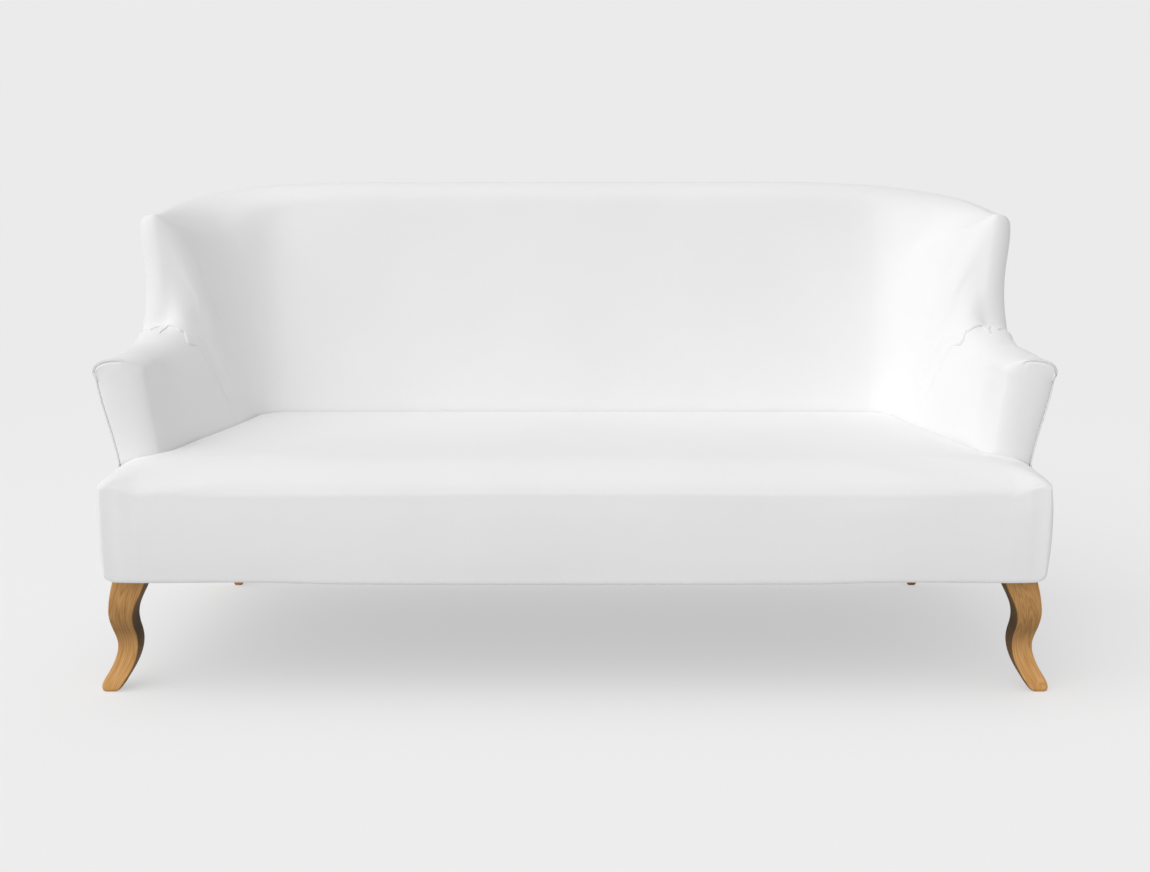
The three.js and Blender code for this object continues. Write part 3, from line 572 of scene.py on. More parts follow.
def horseshoe():
    """Both arms and the back as one soft surface: from the right arm's front round to the left arm's."""
    times = np.array([*ARM_TIMES, *WING_TIMES[1:], *CORNER_TIMES, *BACK_TIMES])
    half = np.stack(front_columns() + [section(t) for t in times])
    full = np.concatenate([half, mirrored(half)[1:]])
    times = np.concatenate([np.zeros(FRONT_COLUMNS), times])
    times = np.concatenate([times, times[::-1][1:]])
    columns = from_ends(len(full))
    rows = np.arange(ROWS)
    away = np.minimum(rows / 6, rows[::-1] / 12)
    free = ease((columns - FRONT_COLUMNS) / 8)[:, None] * ease(away)[None, :]
    full = relax(full, 1 - free, 12)
    facing = ease(np.minimum(columns, FRONT_COLUMNS - len(SEWN) - columns) / 4)[:, None]
    full = relax(full, 1 - facing * ease(away / 2)[None, :], 10)
    along = ease((times - 0.25) / 0.45) * ease((1.9 - times) / 0.9)
    shoulder = ease((rows - ROLL_START - 0.42 * ROLL_ROWS) / 11)
    shoulder *= ease((ROLL_END + 0.8 * INSIDE_ROWS - rows) / 20)
    full = relax(full, 1 - np.outer(along, shoulder), SHOULDER_ROUNDS)
    side = outward_of(full, SITTER)
    seam = 1 - 0.9 * np.exp(-((columns - SEAM) / 4.0) ** 2)
    free = free * seam[:, None]
    full += inflate(full, 1 - free * 0.97, 1.2)
    full += normals(full) * (soft_waves(full, 0.26, 0.0015, 1) * free * side)[..., None]
    return full, side


# The right arm's middle, and how deep the arm's last columns lie under the lip of the back's cover
ARM_CORE = (0.905, -0.1, 0.50)
UNDER_LIP = 0.0045
# How far the lip stands out on the roll and on the inside, and how deep it starts
LIP_OUT, LIP_OUT_INSIDE, LIP_SUNK = 0.0018, 0.0010, 0.0012


def build_horseshoe():
    full, side = horseshoe()
    outward = normals(full) * side
    ends = [("right", 1, full, outward), ("left", -1, full[::-1], outward[::-1])]
    for name, way, grid, out in ends:
        arm = grid[:SEAM + 3].copy()
        arm[-2:] -= out[SEAM + 1:SEAM + 3] * UNDER_LIP
        core = Vector((way * ARM_CORE[0], *ARM_CORE[1:]))
        cover = dress(f"arm_cover_and_facing_{name}", [arm], lambda p: p - core, COVER, "cover_fabric",
                      f"arm_cover_{name}", f"arm_front_panel_{name}", levels=1)
    back = full[SEAM:len(full) - SEAM].copy()
    near = np.exp(-np.arange(LIP_COLUMNS) / 3.5)
    reach = tooth_reach()
    lip = np.minimum(row_inner / 0.1, 1) * (LIP_OUT + LIP_SUNK) - LIP_SUNK
    lip[ROLL_END:] = np.interp(np.arange(ROWS - ROLL_END), [0, 8], [LIP_OUT_INSIDE, -LIP_SUNK])
    rows = np.arange(ROWS)
    for end, (_, _, source, out) in zip((back, back[::-1]), ends):
        for c in range(LIP_COLUMNS):
            at = SEAM + c - TOOTH_COLUMNS * reach * near[c]
            low = np.floor(at).astype(int)
            part = (at - low)[:, None]
            end[c] = lerp(source[low, rows], source[low + 1, rows], part)
            end[c] += lerp(out[low, rows], out[low + 1, rows], part) * (lip * near[c])[:, None]
    cover = dress("back_cover", [back], lambda p: Vector(SITTER) - p, COVER,
                  "cover_fabric", "inside_back_cover")


# Outside panels
PANEL_THICKNESS = 0.0025
PANEL_ROWS = 40
# Depths and insets down the folded top edge, and heights and insets round the hem
PANEL_TOP = [(0.0025, 0.004), (0.0022, 0.0022), (0.003, 0.0008), (0.005, 0.0002), (0.009, 0), (0.014, 0)]
PANEL_HEM = [(0.2460, 0.0003), (0.2418, 0.0014), (0.2392, 0.0040), (0.2384, 0.008), (0.2384, 0.018)]
PANEL_LOW = 0.252
# Steps along the panel and inwards that fold its edge in, at the arm's front and at the rear seam
FRONT_FOLD = [(0.010, 0.0032), (0.0016, 0.0030), (-0.0002, 0.0016)]
SEAM_FOLD = [(0.0016, 0.0012), (0.0018, 0.0035)]
# How far the panel starts before the facing's outer edge, and how much further forward beside the ear
PANEL_AHEAD = 0.0028
EAR_FORWARD = FACING_BACK - 0.0034
PANEL_TUCK = 0.006
EAR_SIDE_TOP = 0.454


def panel_column(time):
    """Places, heights and insets down one column of an outside panel, from its folded top edge to its hem."""
    points = []
    for depth, inset in PANEL_TOP:
        back, drop = square_to_edge(time, depth)
        points.append((time + back, edge_height(time) - drop, inset))
    top = points[-1][1]
    for share in np.linspace(0, 1, PANEL_ROWS)[1:]:
        points.append((time + back * (1 - ease(share * 2.5)), lerp(top, PANEL_LOW, share), 0))
    points += [(time, height, inset) for height, inset in PANEL_HEM]
    return np.array(points)


def panel_grid(times):
    """An outside panel's points, in columns that keep their order round the horseshoe in every row."""
    columns = np.stack([panel_column(t) for t in times])
    for c in range(1, len(times)):
        least = columns[c - 1, :, 0] + 0.25 * (times[c] - times[c - 1])
        columns[c, :, 0] = np.maximum(columns[c, :, 0], least)
    return np.array([[(*outside(place, height, inset), height) for place, height, inset in column]
                     for column in columns])


def folded(column, along, away, steps):
    """Copies of a panel's end column that fold its edge in, by steps along the panel and inwards."""
    folds = np.repeat(column[None], len(steps), axis=0)
    for fold, (on, inset) in zip(folds, steps):
        fold[:, :2] += along * on - away * inset
    return folds


def build_panels():
    rear_x = PANEL_SEAM_HALF + 0.004
    seam = next(time for time in np.arange(1, 2, 0.005) if outside(time, 0.5)[0] < rear_x)
    start = (FACING_BACK - PANEL_AHEAD) / OUTSIDE_SPEED
    side = panel_grid(np.concatenate([np.linspace(start, 0.58, 34), np.linspace(0.59, 0.74, 14),
                                      np.linspace(0.745, 0.97, 62), np.linspace(0.978, 1, 4),
                                      np.linspace(1, seam, 26)[1:]]))
    along = unit(side[-1, 20, :2] - side[-2, 20, :2])
    _, away = on_plan(OUTSIDE_CURVES, seam)
    back, out = np.array([0, 1]), np.array([1, 0])
    side = np.concatenate([folded(side[0], back, out, FRONT_FOLD), side,
                           folded(side[-1], along, away, SEAM_FOLD)])
    side[:8, :, 1] += PANEL_TUCK * np.outer(np.exp(-np.arange(8) / 3), np.exp(-np.arange(side.shape[1]) / 4))
    beside_ear = ease((EAR_SIDE_TOP - side[0, :, 2]) / 0.020)
    forward = np.exp(-np.maximum(np.arange(8) - 3, 0) / 2)
    side[:8, :, 1] -= EAR_FORWARD * np.outer(forward, beside_ear)
    soften(side, 10, 0.22, 0.0018, 3, (0.5, 0.0, 0.5))
    for name, points in (("right", side), ("left", mirrored(side))):
        dress(f"outside_side_cover_{name}", [points], lambda p: Vector((p.x, p.y + 0.1, 0)), PANEL_THICKNESS,
              "cover_fabric", f"outside_side_panel_{name}", finish=panel_fabric)

    half = panel_grid(np.concatenate([np.linspace(seam + 0.012, 2, 16), np.linspace(2, 3, 70)[1:]]))
    half = np.concatenate([folded(half[0], -along, away, SEAM_FOLD[::-1]), half])
    full = np.concatenate([half, mirrored(half)[1:]])
    soften(full, 14, 0.28, 0.0022, 4, (0.0, 0.0, 0.5))
    dress("outside_back_cover", [full], lambda p: Vector((0, 1, 0)), PANEL_THICKNESS,
          "cover_fabric", "outside_back_panel", finish=panel_fabric)


# Seat
ROLL_DEPTH, ROLL_DROP = 0.094, 0.057
END_ROLL_DEPTH, END_ROLL_DROP = 0.022, 0.013
EAR_WIDTH, EAR_DROP = 0.078, 0.032
EAR_CORNER = 0.006
BOTTOM_CORNER = 0.024
CREASE_ROUND = 0.005
CREASE_INSET = 0.0032
BORDER_ROWS = 26
SEAT_CORE = (0, -0.1, 0.30)
HEM_ROUND = 0.009
# How deep the points of the seat's rear edge are tucked in under the crease
TUCK_DOWN = np.array([0, 0.003, 0.008, 0.016, 0.03, 0.05, 0.08, 0.12])
# How far the front's bottom edge hangs below the border's line, from the middle out
BOTTOM_PLACES = [0, 0.30, 0.48, 0.585, 0.66, 0.74, 0.84, 0.90, SEAT_HALF]
BOTTOM_DROPS = [0.0095, 0.0090, 0.0078, 0.0048, 0.0036, 0.0044, 0.0052, 0.0046, 0.0040]


def seat_z(x, y):
    """The seat's top: crowned, rolled over its front edge, and falling to a pinched corner at each ear."""
    ear = np.clip((abs(x) - (SEAT_HALF - EAR_WIDTH)) / EAR_WIDTH, 0, 1)
    end = ease(ear)
    depth = lerp(ROLL_DEPTH, END_ROLL_DEPTH, end)
    front = np.clip((FRONT + depth - y) / depth, 0, 1)
    fall = ear ** 2.0 * ease((ARM_FRONT + 0.075 - y) / 0.075)
    crown = 0.002 * (x / DECK_FRONT_HALF) ** 4
    return (SEAT_HEIGHT - crown - EAR_DROP * fall
            - lerp(ROLL_DROP, END_ROLL_DROP, end) * (1 - math.sqrt(1 - front ** 2)))


# The crease between the deck and the arm's rounded front corner, the arm and the back
corner_reach = outside(0.0, DECK_TOP)[0] - CREASE_INSET - DECK_FRONT_HALF
rear_line = [(SEAT_HALF, ARM_FRONT)]
for step in range(13):
    angle = math.pi / 2 * (1 - step / 12)
    y = CORNER_DEPTH * (1 - math.sin(angle))
    x = inside(y / INSIDE_SPEED, DECK_TOP)[0]
    rear_line.append((x + CORNER_SHARE * corner_reach * (1 - math.cos(angle)), ARM_FRONT + y))
for step in range(4, 60):
    rear_line.append(tuple(inside(step / 60, DECK_TOP)))
for step in range(20):
    rear_line.append(tuple(on_plan(INSIDE_CURVES, 1 + step / 20)[0]))
rear_line += [(DECK_CORNER_HALF, INSIDE_BACK), (0, INSIDE_BACK)]
rear_line = np.array(rear_line)


def rear_y(x):
    order = np.argsort(rear_line[:, 0])
    return np.interp(abs(x), rear_line[order, 0], rear_line[order, 1]) - 0.0004


def rear_distance(x, y):
    """How far a point of the deck is from the crease with the arms and the back."""
    a, b = rear_line[1:-1], rear_line[2:]
    p = np.array([abs(x), y])
    along = b - a
    share = np.clip(((p - a) * along).sum(axis=1) / (along ** 2).sum(axis=1), 0, 1)
    return np.linalg.norm(p - a - along * share[:, None], axis=1).min()


def crease_drop(distance):
    turn = np.clip(1 - distance / CREASE_ROUND, 0, 1)
    return 0.75 * CREASE_ROUND * (1 - math.sqrt(1 - turn ** 2))


def seat_columns():
    half = np.concatenate([
        np.linspace(0, 0.60, 60), np.linspace(0.61, 0.70, 14), np.linspace(0.704, 0.858, 42),
        [0.8605, 0.866, 0.873],
        SEAT_HALF - 0.045 * (1 - np.sin(np.linspace(0, math.pi / 2, 12))),
    ])
    return np.concatenate([-half[:0:-1], half])


def top_row_shares():
    """Distances behind the front edge through the roll, then shares of the rest up to the crease."""
    roll = ROLL_DEPTH * (1 - np.cos(np.linspace(0, math.pi / 2, 22)))
    rest = np.array([*np.linspace(1, 0.10, 46), 0.075, 0.055, 0.04, 0.028, 0.018, 0.011, 0.006, 0.0025, 0])
    return roll, (1 - rest)[1:]


def corner_x(x, y):
    """Pulls the ears' ends in round their front corner in plan."""
    turn = np.clip((FRONT + EAR_CORNER - y) / EAR_CORNER, 0, 1)
    weight = np.clip((abs(x) - (SEAT_HALF - 0.06)) / 0.06, 0, 1) ** 1.5
    return x - math.copysign(EAR_CORNER * (1 - math.sqrt(1 - turn ** 2)) * weight, x)


def seat_top(xs):
    """The seat's top, from its front edge to the crease at each x."""
    roll, rest = top_row_shares()
    top = []
    for x in xs:
        end = rear_y(x)
        column = []
        for y in np.concatenate([FRONT + roll, lerp(FRONT + roll[-1], end, rest)]):
            if abs(x) < DECK_FRONT_HALF + 0.004:
                from_crease = rear_distance(x, y)
            else:
                from_crease = max(0.0, end - y) + (abs(x) - DECK_FRONT_HALF) * 0.15
            column.append((corner_x(x, y), y, seat_z(x, y) - crease_drop(from_crease)))
        top.append(column)
    return np.array(top)


def bottom_line(x):
    around = [np.interp(abs(abs(x) + step), BOTTOM_PLACES, BOTTOM_DROPS)
              for step in (-0.03, -0.01, 0.01, 0.03)]
    return -sum(around) / 4


def border_column(point, out):
    """The border under a point of the top's outline: straight down, round its hem and in under the frame."""
    sag = bottom_line(point[0])
    from_corner = math.hypot(SEAT_HALF - abs(point[0]), point[1] - FRONT)
    turn = max(0, 1 - from_corner / BOTTOM_CORNER)
    low = BORDER_BOTTOM + sag + BOTTOM_CORNER * (1 - math.sqrt(1 - turn ** 2))
    places = [(0, lerp(point[2], low + HEM_ROUND, share)) for share in np.linspace(0, 1, BORDER_ROWS)]
    for angle in np.radians((22, 45, 67, 90)):
        places.append((HEM_ROUND * (1 - math.cos(angle)), low + HEM_ROUND * (1 - math.sin(angle))))
    places += [(0.014, low + 0.0012), (0.022, low + 0.0036 + sag * 0.1)]
    return [(*(point[:2] - out * inset), z) for inset, z in places]


def build_seat():
    xs = seat_columns()
    top = seat_top(xs)
    rows = np.arange(top.shape[1])
    held = np.maximum(1 - ease(rows[::-1] / 12) * 0.97, 1 - ease((rows + 6) / 12))
    held = np.maximum(held[None, :], 1 - ease((from_ends(len(xs)) + 2) / 12)[:, None])
    top = top + inflate(top, np.maximum(held, 0.02), 1.5)

    rear = []
    for x, edge in zip(xs, top[:, -1]):
        bottom = RAIL_TOP if abs(x) < DECK_FRONT_HALF else BORDER_BOTTOM
        depths = TUCK_DOWN * (edge[2] - bottom) / TUCK_DOWN[-1]
        rear.append(edge - np.outer(depths, (0, 0, 1)))

    outline = np.concatenate([top[0, :0:-1], top[:, 0], top[-1, 1:]])
    tangent = np.gradient(outline[:, :2], axis=0)
    outward = unit(np.stack([tangent[:, 1], -tangent[:, 0]], axis=1))
    border = np.array([border_column(point, out) for point, out in zip(outline, outward)])
    rows = np.arange(border.shape[1])
    along = ease(from_ends(len(outline)) / 12)
    waves = soft_waves(border * np.array([1, 1, 1.6]), 0.22, 0.0022, 5) + 0.0012
    waves *= np.outer(along, ease(rows / 6) * ease((BORDER_ROWS - rows) / 8))
    belly = 0.0035 * np.outer(along, np.sin(np.pi * np.clip(rows / BORDER_ROWS, 0, 1)))
    border[..., :2] += outward[:, None, :] * (waves + belly)[..., None]

    cover = dress("seat_cover_tight", [top, np.array(rear), border], lambda p: p - Vector(SEAT_CORE), COVER,
                  "cover_fabric", "seat_cover", levels=1)


# Hidden soft pieces
FOAM_SMALLER = 0.0012


def keep_under(points, surface, depth):
    """Moves points that lie above a cover, or too close under it, to the given depth below it."""
    for i, point in enumerate(points):
        near, normal, _, _ = surface.find_nearest(Vector(point), 0.08)
        if near is not None and (Vector(point) - near).dot(normal) > -depth:
            points[i] = near - normal * depth


def foam_block(name, voxel, surface):
    """A foam piece in its CAD solid's space: rounded off, and a little smaller."""
    obj = bpy.data.objects.new(f"{name}_block", frame["nodes"][name].data.copy())
    bpy.context.scene.collection.objects.link(obj)
    remesh = obj.modifiers.new("Remesh", "REMESH")
    remesh.mode = "VOXEL"
    remesh.voxel_size = voxel
    even = obj.modifiers.new("Even", "SMOOTH")
    even.factor, even.iterations = 0.5, 4
    apply_modifiers(obj)
    mesh = obj.data
    count = len(mesh.vertices)
    points, out = np.zeros(count * 3), np.zeros(count * 3)
    mesh.vertices.foreach_get("co", points)
    mesh.vertices.foreach_get("normal", out)
    points = (points - out * FOAM_SMALLER).reshape(-1, 3)
    keep_under(points, surface, COVER + 0.001)
    mesh.vertices.foreach_set("co", points.ravel())
    mesh.update()
    smooth_faces(obj)
    return place(obj, "foam", name)


def plan_sheet(half, low, high, sag, size):
    """A flat cloth, twice half wide, from y = low to y = high(x), with a little sag."""
    grid = []
    for x in np.linspace(-half, half, size[0]):
        across = sag * (1 - (abs(x) / half) ** 6)
        column = []
        for share in np.linspace(0, 1, size[1]):
            y = lerp(low, high(x), share)
            arch = math.sin(math.pi * share)
            uneven = 0.25 * noise.noise(Vector((x * 9, y * 9, 2.0))) * arch
            column.append((x, y, across * (uneven - arch ** 0.7)))
        grid.append(column)
    return np.array(grid)


def build_foams():
    for name, voxel, cover in (("seat_foam", 0.011, "seat_cover_tight"), ("back_foam", 0.009, "back_cover"),
                               ("arm_foam_left", 0.007, "arm_cover_and_facing_left"),
                               ("arm_foam_right", 0.007, "arm_cover_and_facing_right")):
        foam_block(name, voxel, surfaces[cover])


FELT_HALF, FELT_FRONT, FELT_REAR, FELT_MIDDLE = 0.80, -0.412, 0.094, 0.3686
# The felt's rear edge follows the crease at a distance, a little steeper at the sides
FELT_MARGIN = 0.047
FELT_STEEPER = DECK_REAR_HALF / 0.673


def build_felt():
    grid = plan_sheet(FELT_HALF, FELT_FRONT, lambda x: min(rear_y(x * FELT_STEEPER) - FELT_MARGIN, FELT_REAR),
                      0.0, (90, 30))
    grid[..., 2] += FELT_MIDDLE
    pad = dress("spring_pad_felt", [grid], lambda p: Vector((0, 0, 1)), 0.0038, "felt", "seat_spring_pad")


def build_straps():
    for i in (1, 2, 3):
        low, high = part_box(f"back_strap_{i}")
        line = [(lerp(low.y + 0.001, high.y - 0.001, share), lerp(low.z, high.z, share))
                for share in np.linspace(0, 1, 60)]
        grid = np.array([[(x, y, z) for y, z in line] for x in np.linspace(low.x, high.x, 9)])
        obj = dress(f"back_webbing_{i}", [grid], lambda p: Vector((0, -1, 0)), 0.0018,
                    "webbing", f"back_strap_{i}")


# The dust cover's edge lies this far inside the panels and behind the seat's front
DUST_INSET, DUST_FRONT = 0.015, 0.023
DUST_SAG = 0.003


def build_dust_cover():
    outline = [outside(t, LEG_TOP, DUST_INSET) for t in np.linspace(1, 2, 30)]
    outline = np.array([(BASE_HALF - DUST_INSET, SIDE_END), *outline, (0, REAR_BASE - DUST_INSET)])
    order = np.argsort(outline[:, 0])

    def rear_edge(x):
        return float(np.interp(abs(x), outline[order, 0], outline[order, 1]))

    front, half = FRONT + DUST_FRONT, BASE_HALF - DUST_INSET - 0.001
    grid = plan_sheet(half, front, rear_edge, DUST_SAG, (150, 60))
    near_leg = np.ones(grid.shape[:2])
    for x, y in (FRONT_LEG_PLACE, (REAR_LEG_X[0], REAR_LEG_Y[0])):
        for side in (-1, 1):
            distance = np.hypot(grid[..., 0] - side * x, grid[..., 1] - y)
            near_leg *= ease((distance - 0.05) / 0.10)
    grid[..., 2] = grid[..., 2] * near_leg + BORDER_BOTTOM + 0.0009
    obj = dress("dust_cover_cloth", [grid], lambda p: Vector((0, 0, -1)), 0.0008, "cambric", "dust_cover")


# Legs
LEG_SIDES = 56
FRONT_LEG_PLACE = (0.852, -0.35)
# From the rear leg's top to its toe
REAR_LEG_X, REAR_LEG_Y, REAR_LEG_WIDTH = (0.818, 0.826), (0.292, 0.328), (0.046, 0.022)

# The front leg in millimetres, each value after its height: its outer and inner edge in the front view, and
# its centre and thickness from front to back
LEG_OUTER = [(240, 916), (226, 919), (204, 925), (182, 929), (166, 930.5), (149, 929.5), (132, 926),
             (116, 921.5), (102, 918.5), (90, 918.5), (74, 922), (57, 928.5), (39, 938), (25, 946),
             (14, 950.5), (5, 950.5), (1.5, 949.5), (0, 947)]
LEG_INNER = [(240, 843), (226, 851), (206, 861), (187, 871), (173, 877), (154, 881), (135, 880.5),
             (116, 877), (99, 875.5), (81, 877.5), (62, 883), (41, 892.5), (21, 904), (8, 912), (2, 918),
             (0, 921)]
LEG_DEPTH = [(240, -354, 64), (205, -357, 61), (160, -361, 55), (102, -354, 49), (52, -364, 48),
             (14, -379, 44), (4, -381, 40), (0, -381, 32)]
# How far out its top and its toe are moved, and how far its middle comes down
LEG_OUT, TOE_OUT, LEG_LOWER = 5, 1.5, 5


def smooth_value(table, height, column=1):
    """Reads a table of heights and values through a smooth curve."""
    data = np.array(sorted(table), float)
    xs, ys = data[:, 0], data[:, column]
    slopes = np.gradient(ys, xs)
    i = int(np.clip(np.searchsorted(xs, height) - 1, 0, len(xs) - 2))
    h = xs[i + 1] - xs[i]
    s = (height - xs[i]) / h
    return ((2 * s ** 3 - 3 * s ** 2 + 1) * ys[i] + (s ** 3 - 2 * s ** 2 + s) * h * slopes[i]
            + (-2 * s ** 3 + 3 * s ** 2) * ys[i + 1] + (s ** 3 - s ** 2) * h * slopes[i + 1])


def squircle(width, depth, power):
    """Points round a square with soft corners."""
    angles = np.linspace(0, 2 * math.pi, LEG_SIDES, endpoint=False)
    x = np.sign(np.cos(angles)) * abs(np.cos(angles)) ** power * width / 2
    y = np.sign(np.sin(angles)) * abs(np.sin(angles)) ** power * depth / 2
    return x, y


def leg_object(name, stations):
    """A closed leg from rings of (height, centre x, centre y, width, depth, corner power)."""
    rings, straight = [], []
    for height, x, y, width, depth, power in stations:
        px, py = squircle(width, depth, power)
        rings.append(np.stack([x + px, y + py, np.full(LEG_SIDES, height)], axis=1))
        straight.append(rings[-1] + (stations[0][1] - x, stations[0][2] - y, 0))
    vertices = np.concatenate(rings)
    faces = []
    for ring in range(0, len(vertices) - LEG_SIDES, LEG_SIDES):
        for i in range(LEG_SIDES):
            j = (i + 1) % LEG_SIDES
            faces.append((ring + i, ring + j, ring + LEG_SIDES + j, ring + LEG_SIDES + i))
    ends = np.arange(len(vertices)).reshape(-1, LEG_SIDES).tolist()
    faces += [ends[0], ends[-1][::-1]]
    obj = mesh_object(name, vertices, faces)
    edit(obj, lambda bm: bmesh.ops.recalc_face_normals(bm, faces=bm.faces))
    grain = obj.data.attributes.new("grain", "FLOAT_VECTOR", "POINT")
    grain.data.foreach_set("vector", np.concatenate(straight).ravel())
    for polygon in obj.data.polygons:
        polygon.use_smooth = len(polygon.vertices) == 4
    return obj


def front_leg_stations(side):
    heights = np.concatenate([[240, 239.6, 238.8], np.linspace(236, 8, 76), [6, 4.5, 3, 2, 1.2, 0.6, 0.2, 0]])
    stations = []
    for height in heights:
        curve = height + LEG_LOWER * math.sin(math.pi * height / 240)
        out = lerp(TOE_OUT, LEG_OUT, height / 240)
        outer = smooth_value(LEG_OUTER, curve) + out
        inner = smooth_value(LEG_INNER, curve) + out
        y, depth = smooth_value(LEG_DEPTH, height), smooth_value(LEG_DEPTH, height, 2)
        toe = 0.14 + 0.22 * float(ease((30 - height) / 30))
        stations.append((height / 1000, side * (outer + inner) / 2000, y / 1000, (outer - inner) / 1000,
                         depth / 1000, toe))
    return stations


def rear_leg_stations(side):
    stations = []
    for share in np.concatenate([[0, 0.003], np.linspace(0.01, 0.97, 40), [0.985, 0.993, 0.998, 1]]):
        sweep = share ** 1.6
        width = lerp(*REAR_LEG_WIDTH, share) - 0.005 * float(ease((share - 0.97) / 0.03))
        stations.append((LEG_TOP * (1 - share), side * lerp(*REAR_LEG_X, sweep), lerp(*REAR_LEG_Y, sweep),
                         width, width, 0.34))
    return stations


def build_legs():
    for name, side in (("left", -1), ("right", 1)):
        place(leg_object(f"cabriole_leg_{name}", front_leg_stations(side)), "oak", f"front_leg_{name}")
        place(leg_object(f"sabre_leg_{name}", rear_leg_stations(side)), "oak", f"rear_leg_{name}")


# Materials

def new_material(name):
    material = bpy.data.materials.new(name)
    material.use_nodes = True
    tree = material.node_tree
    shader = tree.nodes["Principled BSDF"]
    return material, tree, shader


def fill(tree, inputs, values):
    """Links each value that is a socket, and sets the others as constants."""
    for key, value in values.items():
        if isinstance(value, bpy.types.NodeSocket):
            tree.links.new(value, inputs[key])
        else:
            inputs[key].default_value = value


def node(tree, kind, values=None, **settings):
    made = tree.nodes.new(kind)
    for key, value in settings.items():
        setattr(made, key, value)
    fill(tree, made.inputs, values or {})
    return made


def math_node(tree, operation, *values):
    return node(tree, "ShaderNodeMath", dict(enumerate(values)), operation=operation).outputs[0]


def total(tree, *terms):
    """The sum of its terms, of which a pair stands for their product."""
    parts = [math_node(tree, "MULTIPLY", *term) if isinstance(term, tuple) else term for term in terms]
    return functools.reduce(lambda a, b: math_node(tree, "ADD", a, b), parts)


def ramp(tree, factor, stops):
    made = node(tree, "ShaderNodeValToRGB", {0: factor})
    elements = made.color_ramp.elements
    while len(elements) < len(stops):
        elements.new(0.5)
    for element, (place_at, colour) in zip(elements, stops):
        element.position = place_at
        element.color = (*colour, 1)
    return made.outputs[0]


def texture_noise(tree, vector, scale, detail, roughness=0.5, distortion=0.0):
    return node(tree, "ShaderNodeTexNoise", {"Vector": vector, "Scale": scale, "Detail": detail,
                                             "Roughness": roughness, "Distortion": distortion}).outputs["Fac"]


def bump(tree, height, strength, distance):
    return node(tree, "ShaderNodeBump", {"Height": height, "Strength": strength,
                                         "Distance": distance}).outputs["Normal"]


def srgb(*levels):
    shares = [level / 255 for level in levels]
    return tuple(v / 12.92 if v <= 0.04045 else ((v + 0.055) / 1.055) ** 2.4 for v in shares)


def object_coordinates(tree):
    return node(tree, "ShaderNodeTexCoord").outputs["Object"]


def weave_height(tree, coordinates, pitch):
    """Crossing threads in every plane: the product of waves along each pair of axes."""
    split = node(tree, "ShaderNodeSeparateXYZ", {0: coordinates})
    waves = [math_node(tree, "SINE", math_node(tree, "MULTIPLY", axis, math.pi * 2 / pitch))
             for axis in split.outputs]
    return total(tree, *[(waves[a], waves[b]) for a, b in ((0, 1), (1, 2), (0, 2))])


def cloth_material(name, tones, pitch, roughness, sheen, depth=0.00008, blotch=3.0):
    """Woven cloth: two close tones in soft patches, slubs, and crossing threads in its relief."""
    material, tree, shader = new_material(name)
    coordinates = object_coordinates(tree)
    patches = texture_noise(tree, coordinates, blotch, 3.0)
    slubs = texture_noise(tree, coordinates, 220.0, 2.0, 0.6)
    tone = total(tree, (patches, 0.75), (slubs, 0.25))
    relief = total(tree, weave_height(tree, coordinates, pitch), (slubs, 1.6))
    fill(tree, shader.inputs, {"Base Color": ramp(tree, tone, [(0.30, tones[0]), (0.70, tones[1])]),
                               "Roughness": total(tree, (slubs, 0.10), roughness - 0.05),
                               "Normal": bump(tree, relief, 0.35, depth),
                               "Sheen Weight": sheen, "Sheen Roughness": 0.5, "Specular IOR Level": 0.2})
    return material


LEG_SHEEN = 0.25
# Painted light and shade up the leg: factors on its colour at shares of its height, darker at the knee,
# lighter at the toe
LEG_PAINTED_LIGHT = [(0.10, 1.02), (0.28, 0.95), (0.52, 0.51), (0.82, 0.86)]


def leg_painted_shade(tree, colour):
    """Painted shade and light on the oak legs: darker inner sides, where they face in under the sofa, darker
    knees and a slightly lighter toe.
    """
    spot = tree.nodes.new("ShaderNodeNewGeometry")
    place_xyz = node(tree, "ShaderNodeSeparateXYZ", {0: spot.outputs["Position"]}).outputs
    facing = node(tree, "ShaderNodeSeparateXYZ", {0: spot.outputs["Normal"]}).outputs
    # Painted shade: the sides that face in towards the middle of the sofa are darkened in the colour
    inward = math_node(tree, "MULTIPLY", math_node(tree, "MULTIPLY", place_xyz[0], facing[0]), -1.1)
    side = node(tree, "ShaderNodeMapRange", {"Value": inward, "From Min": 0.25, "From Max": 0.85,
                                             "To Min": 1.0, "To Max": 0.33})
    # Painted light and shade by height: darker knees, a lighter toe
    height = math_node(tree, "MULTIPLY", place_xyz[2], 1 / LEG_TOP)
    tone = ramp(tree, height, [(share, (level,) * 3) for share, level in LEG_PAINTED_LIGHT])
    painted_shade = math_node(tree, "MULTIPLY", tone, side.outputs[0])
    return node(tree, "ShaderNodeVectorMath", {0: colour, "Scale": painted_shade}, operation="SCALE").outputs[0]


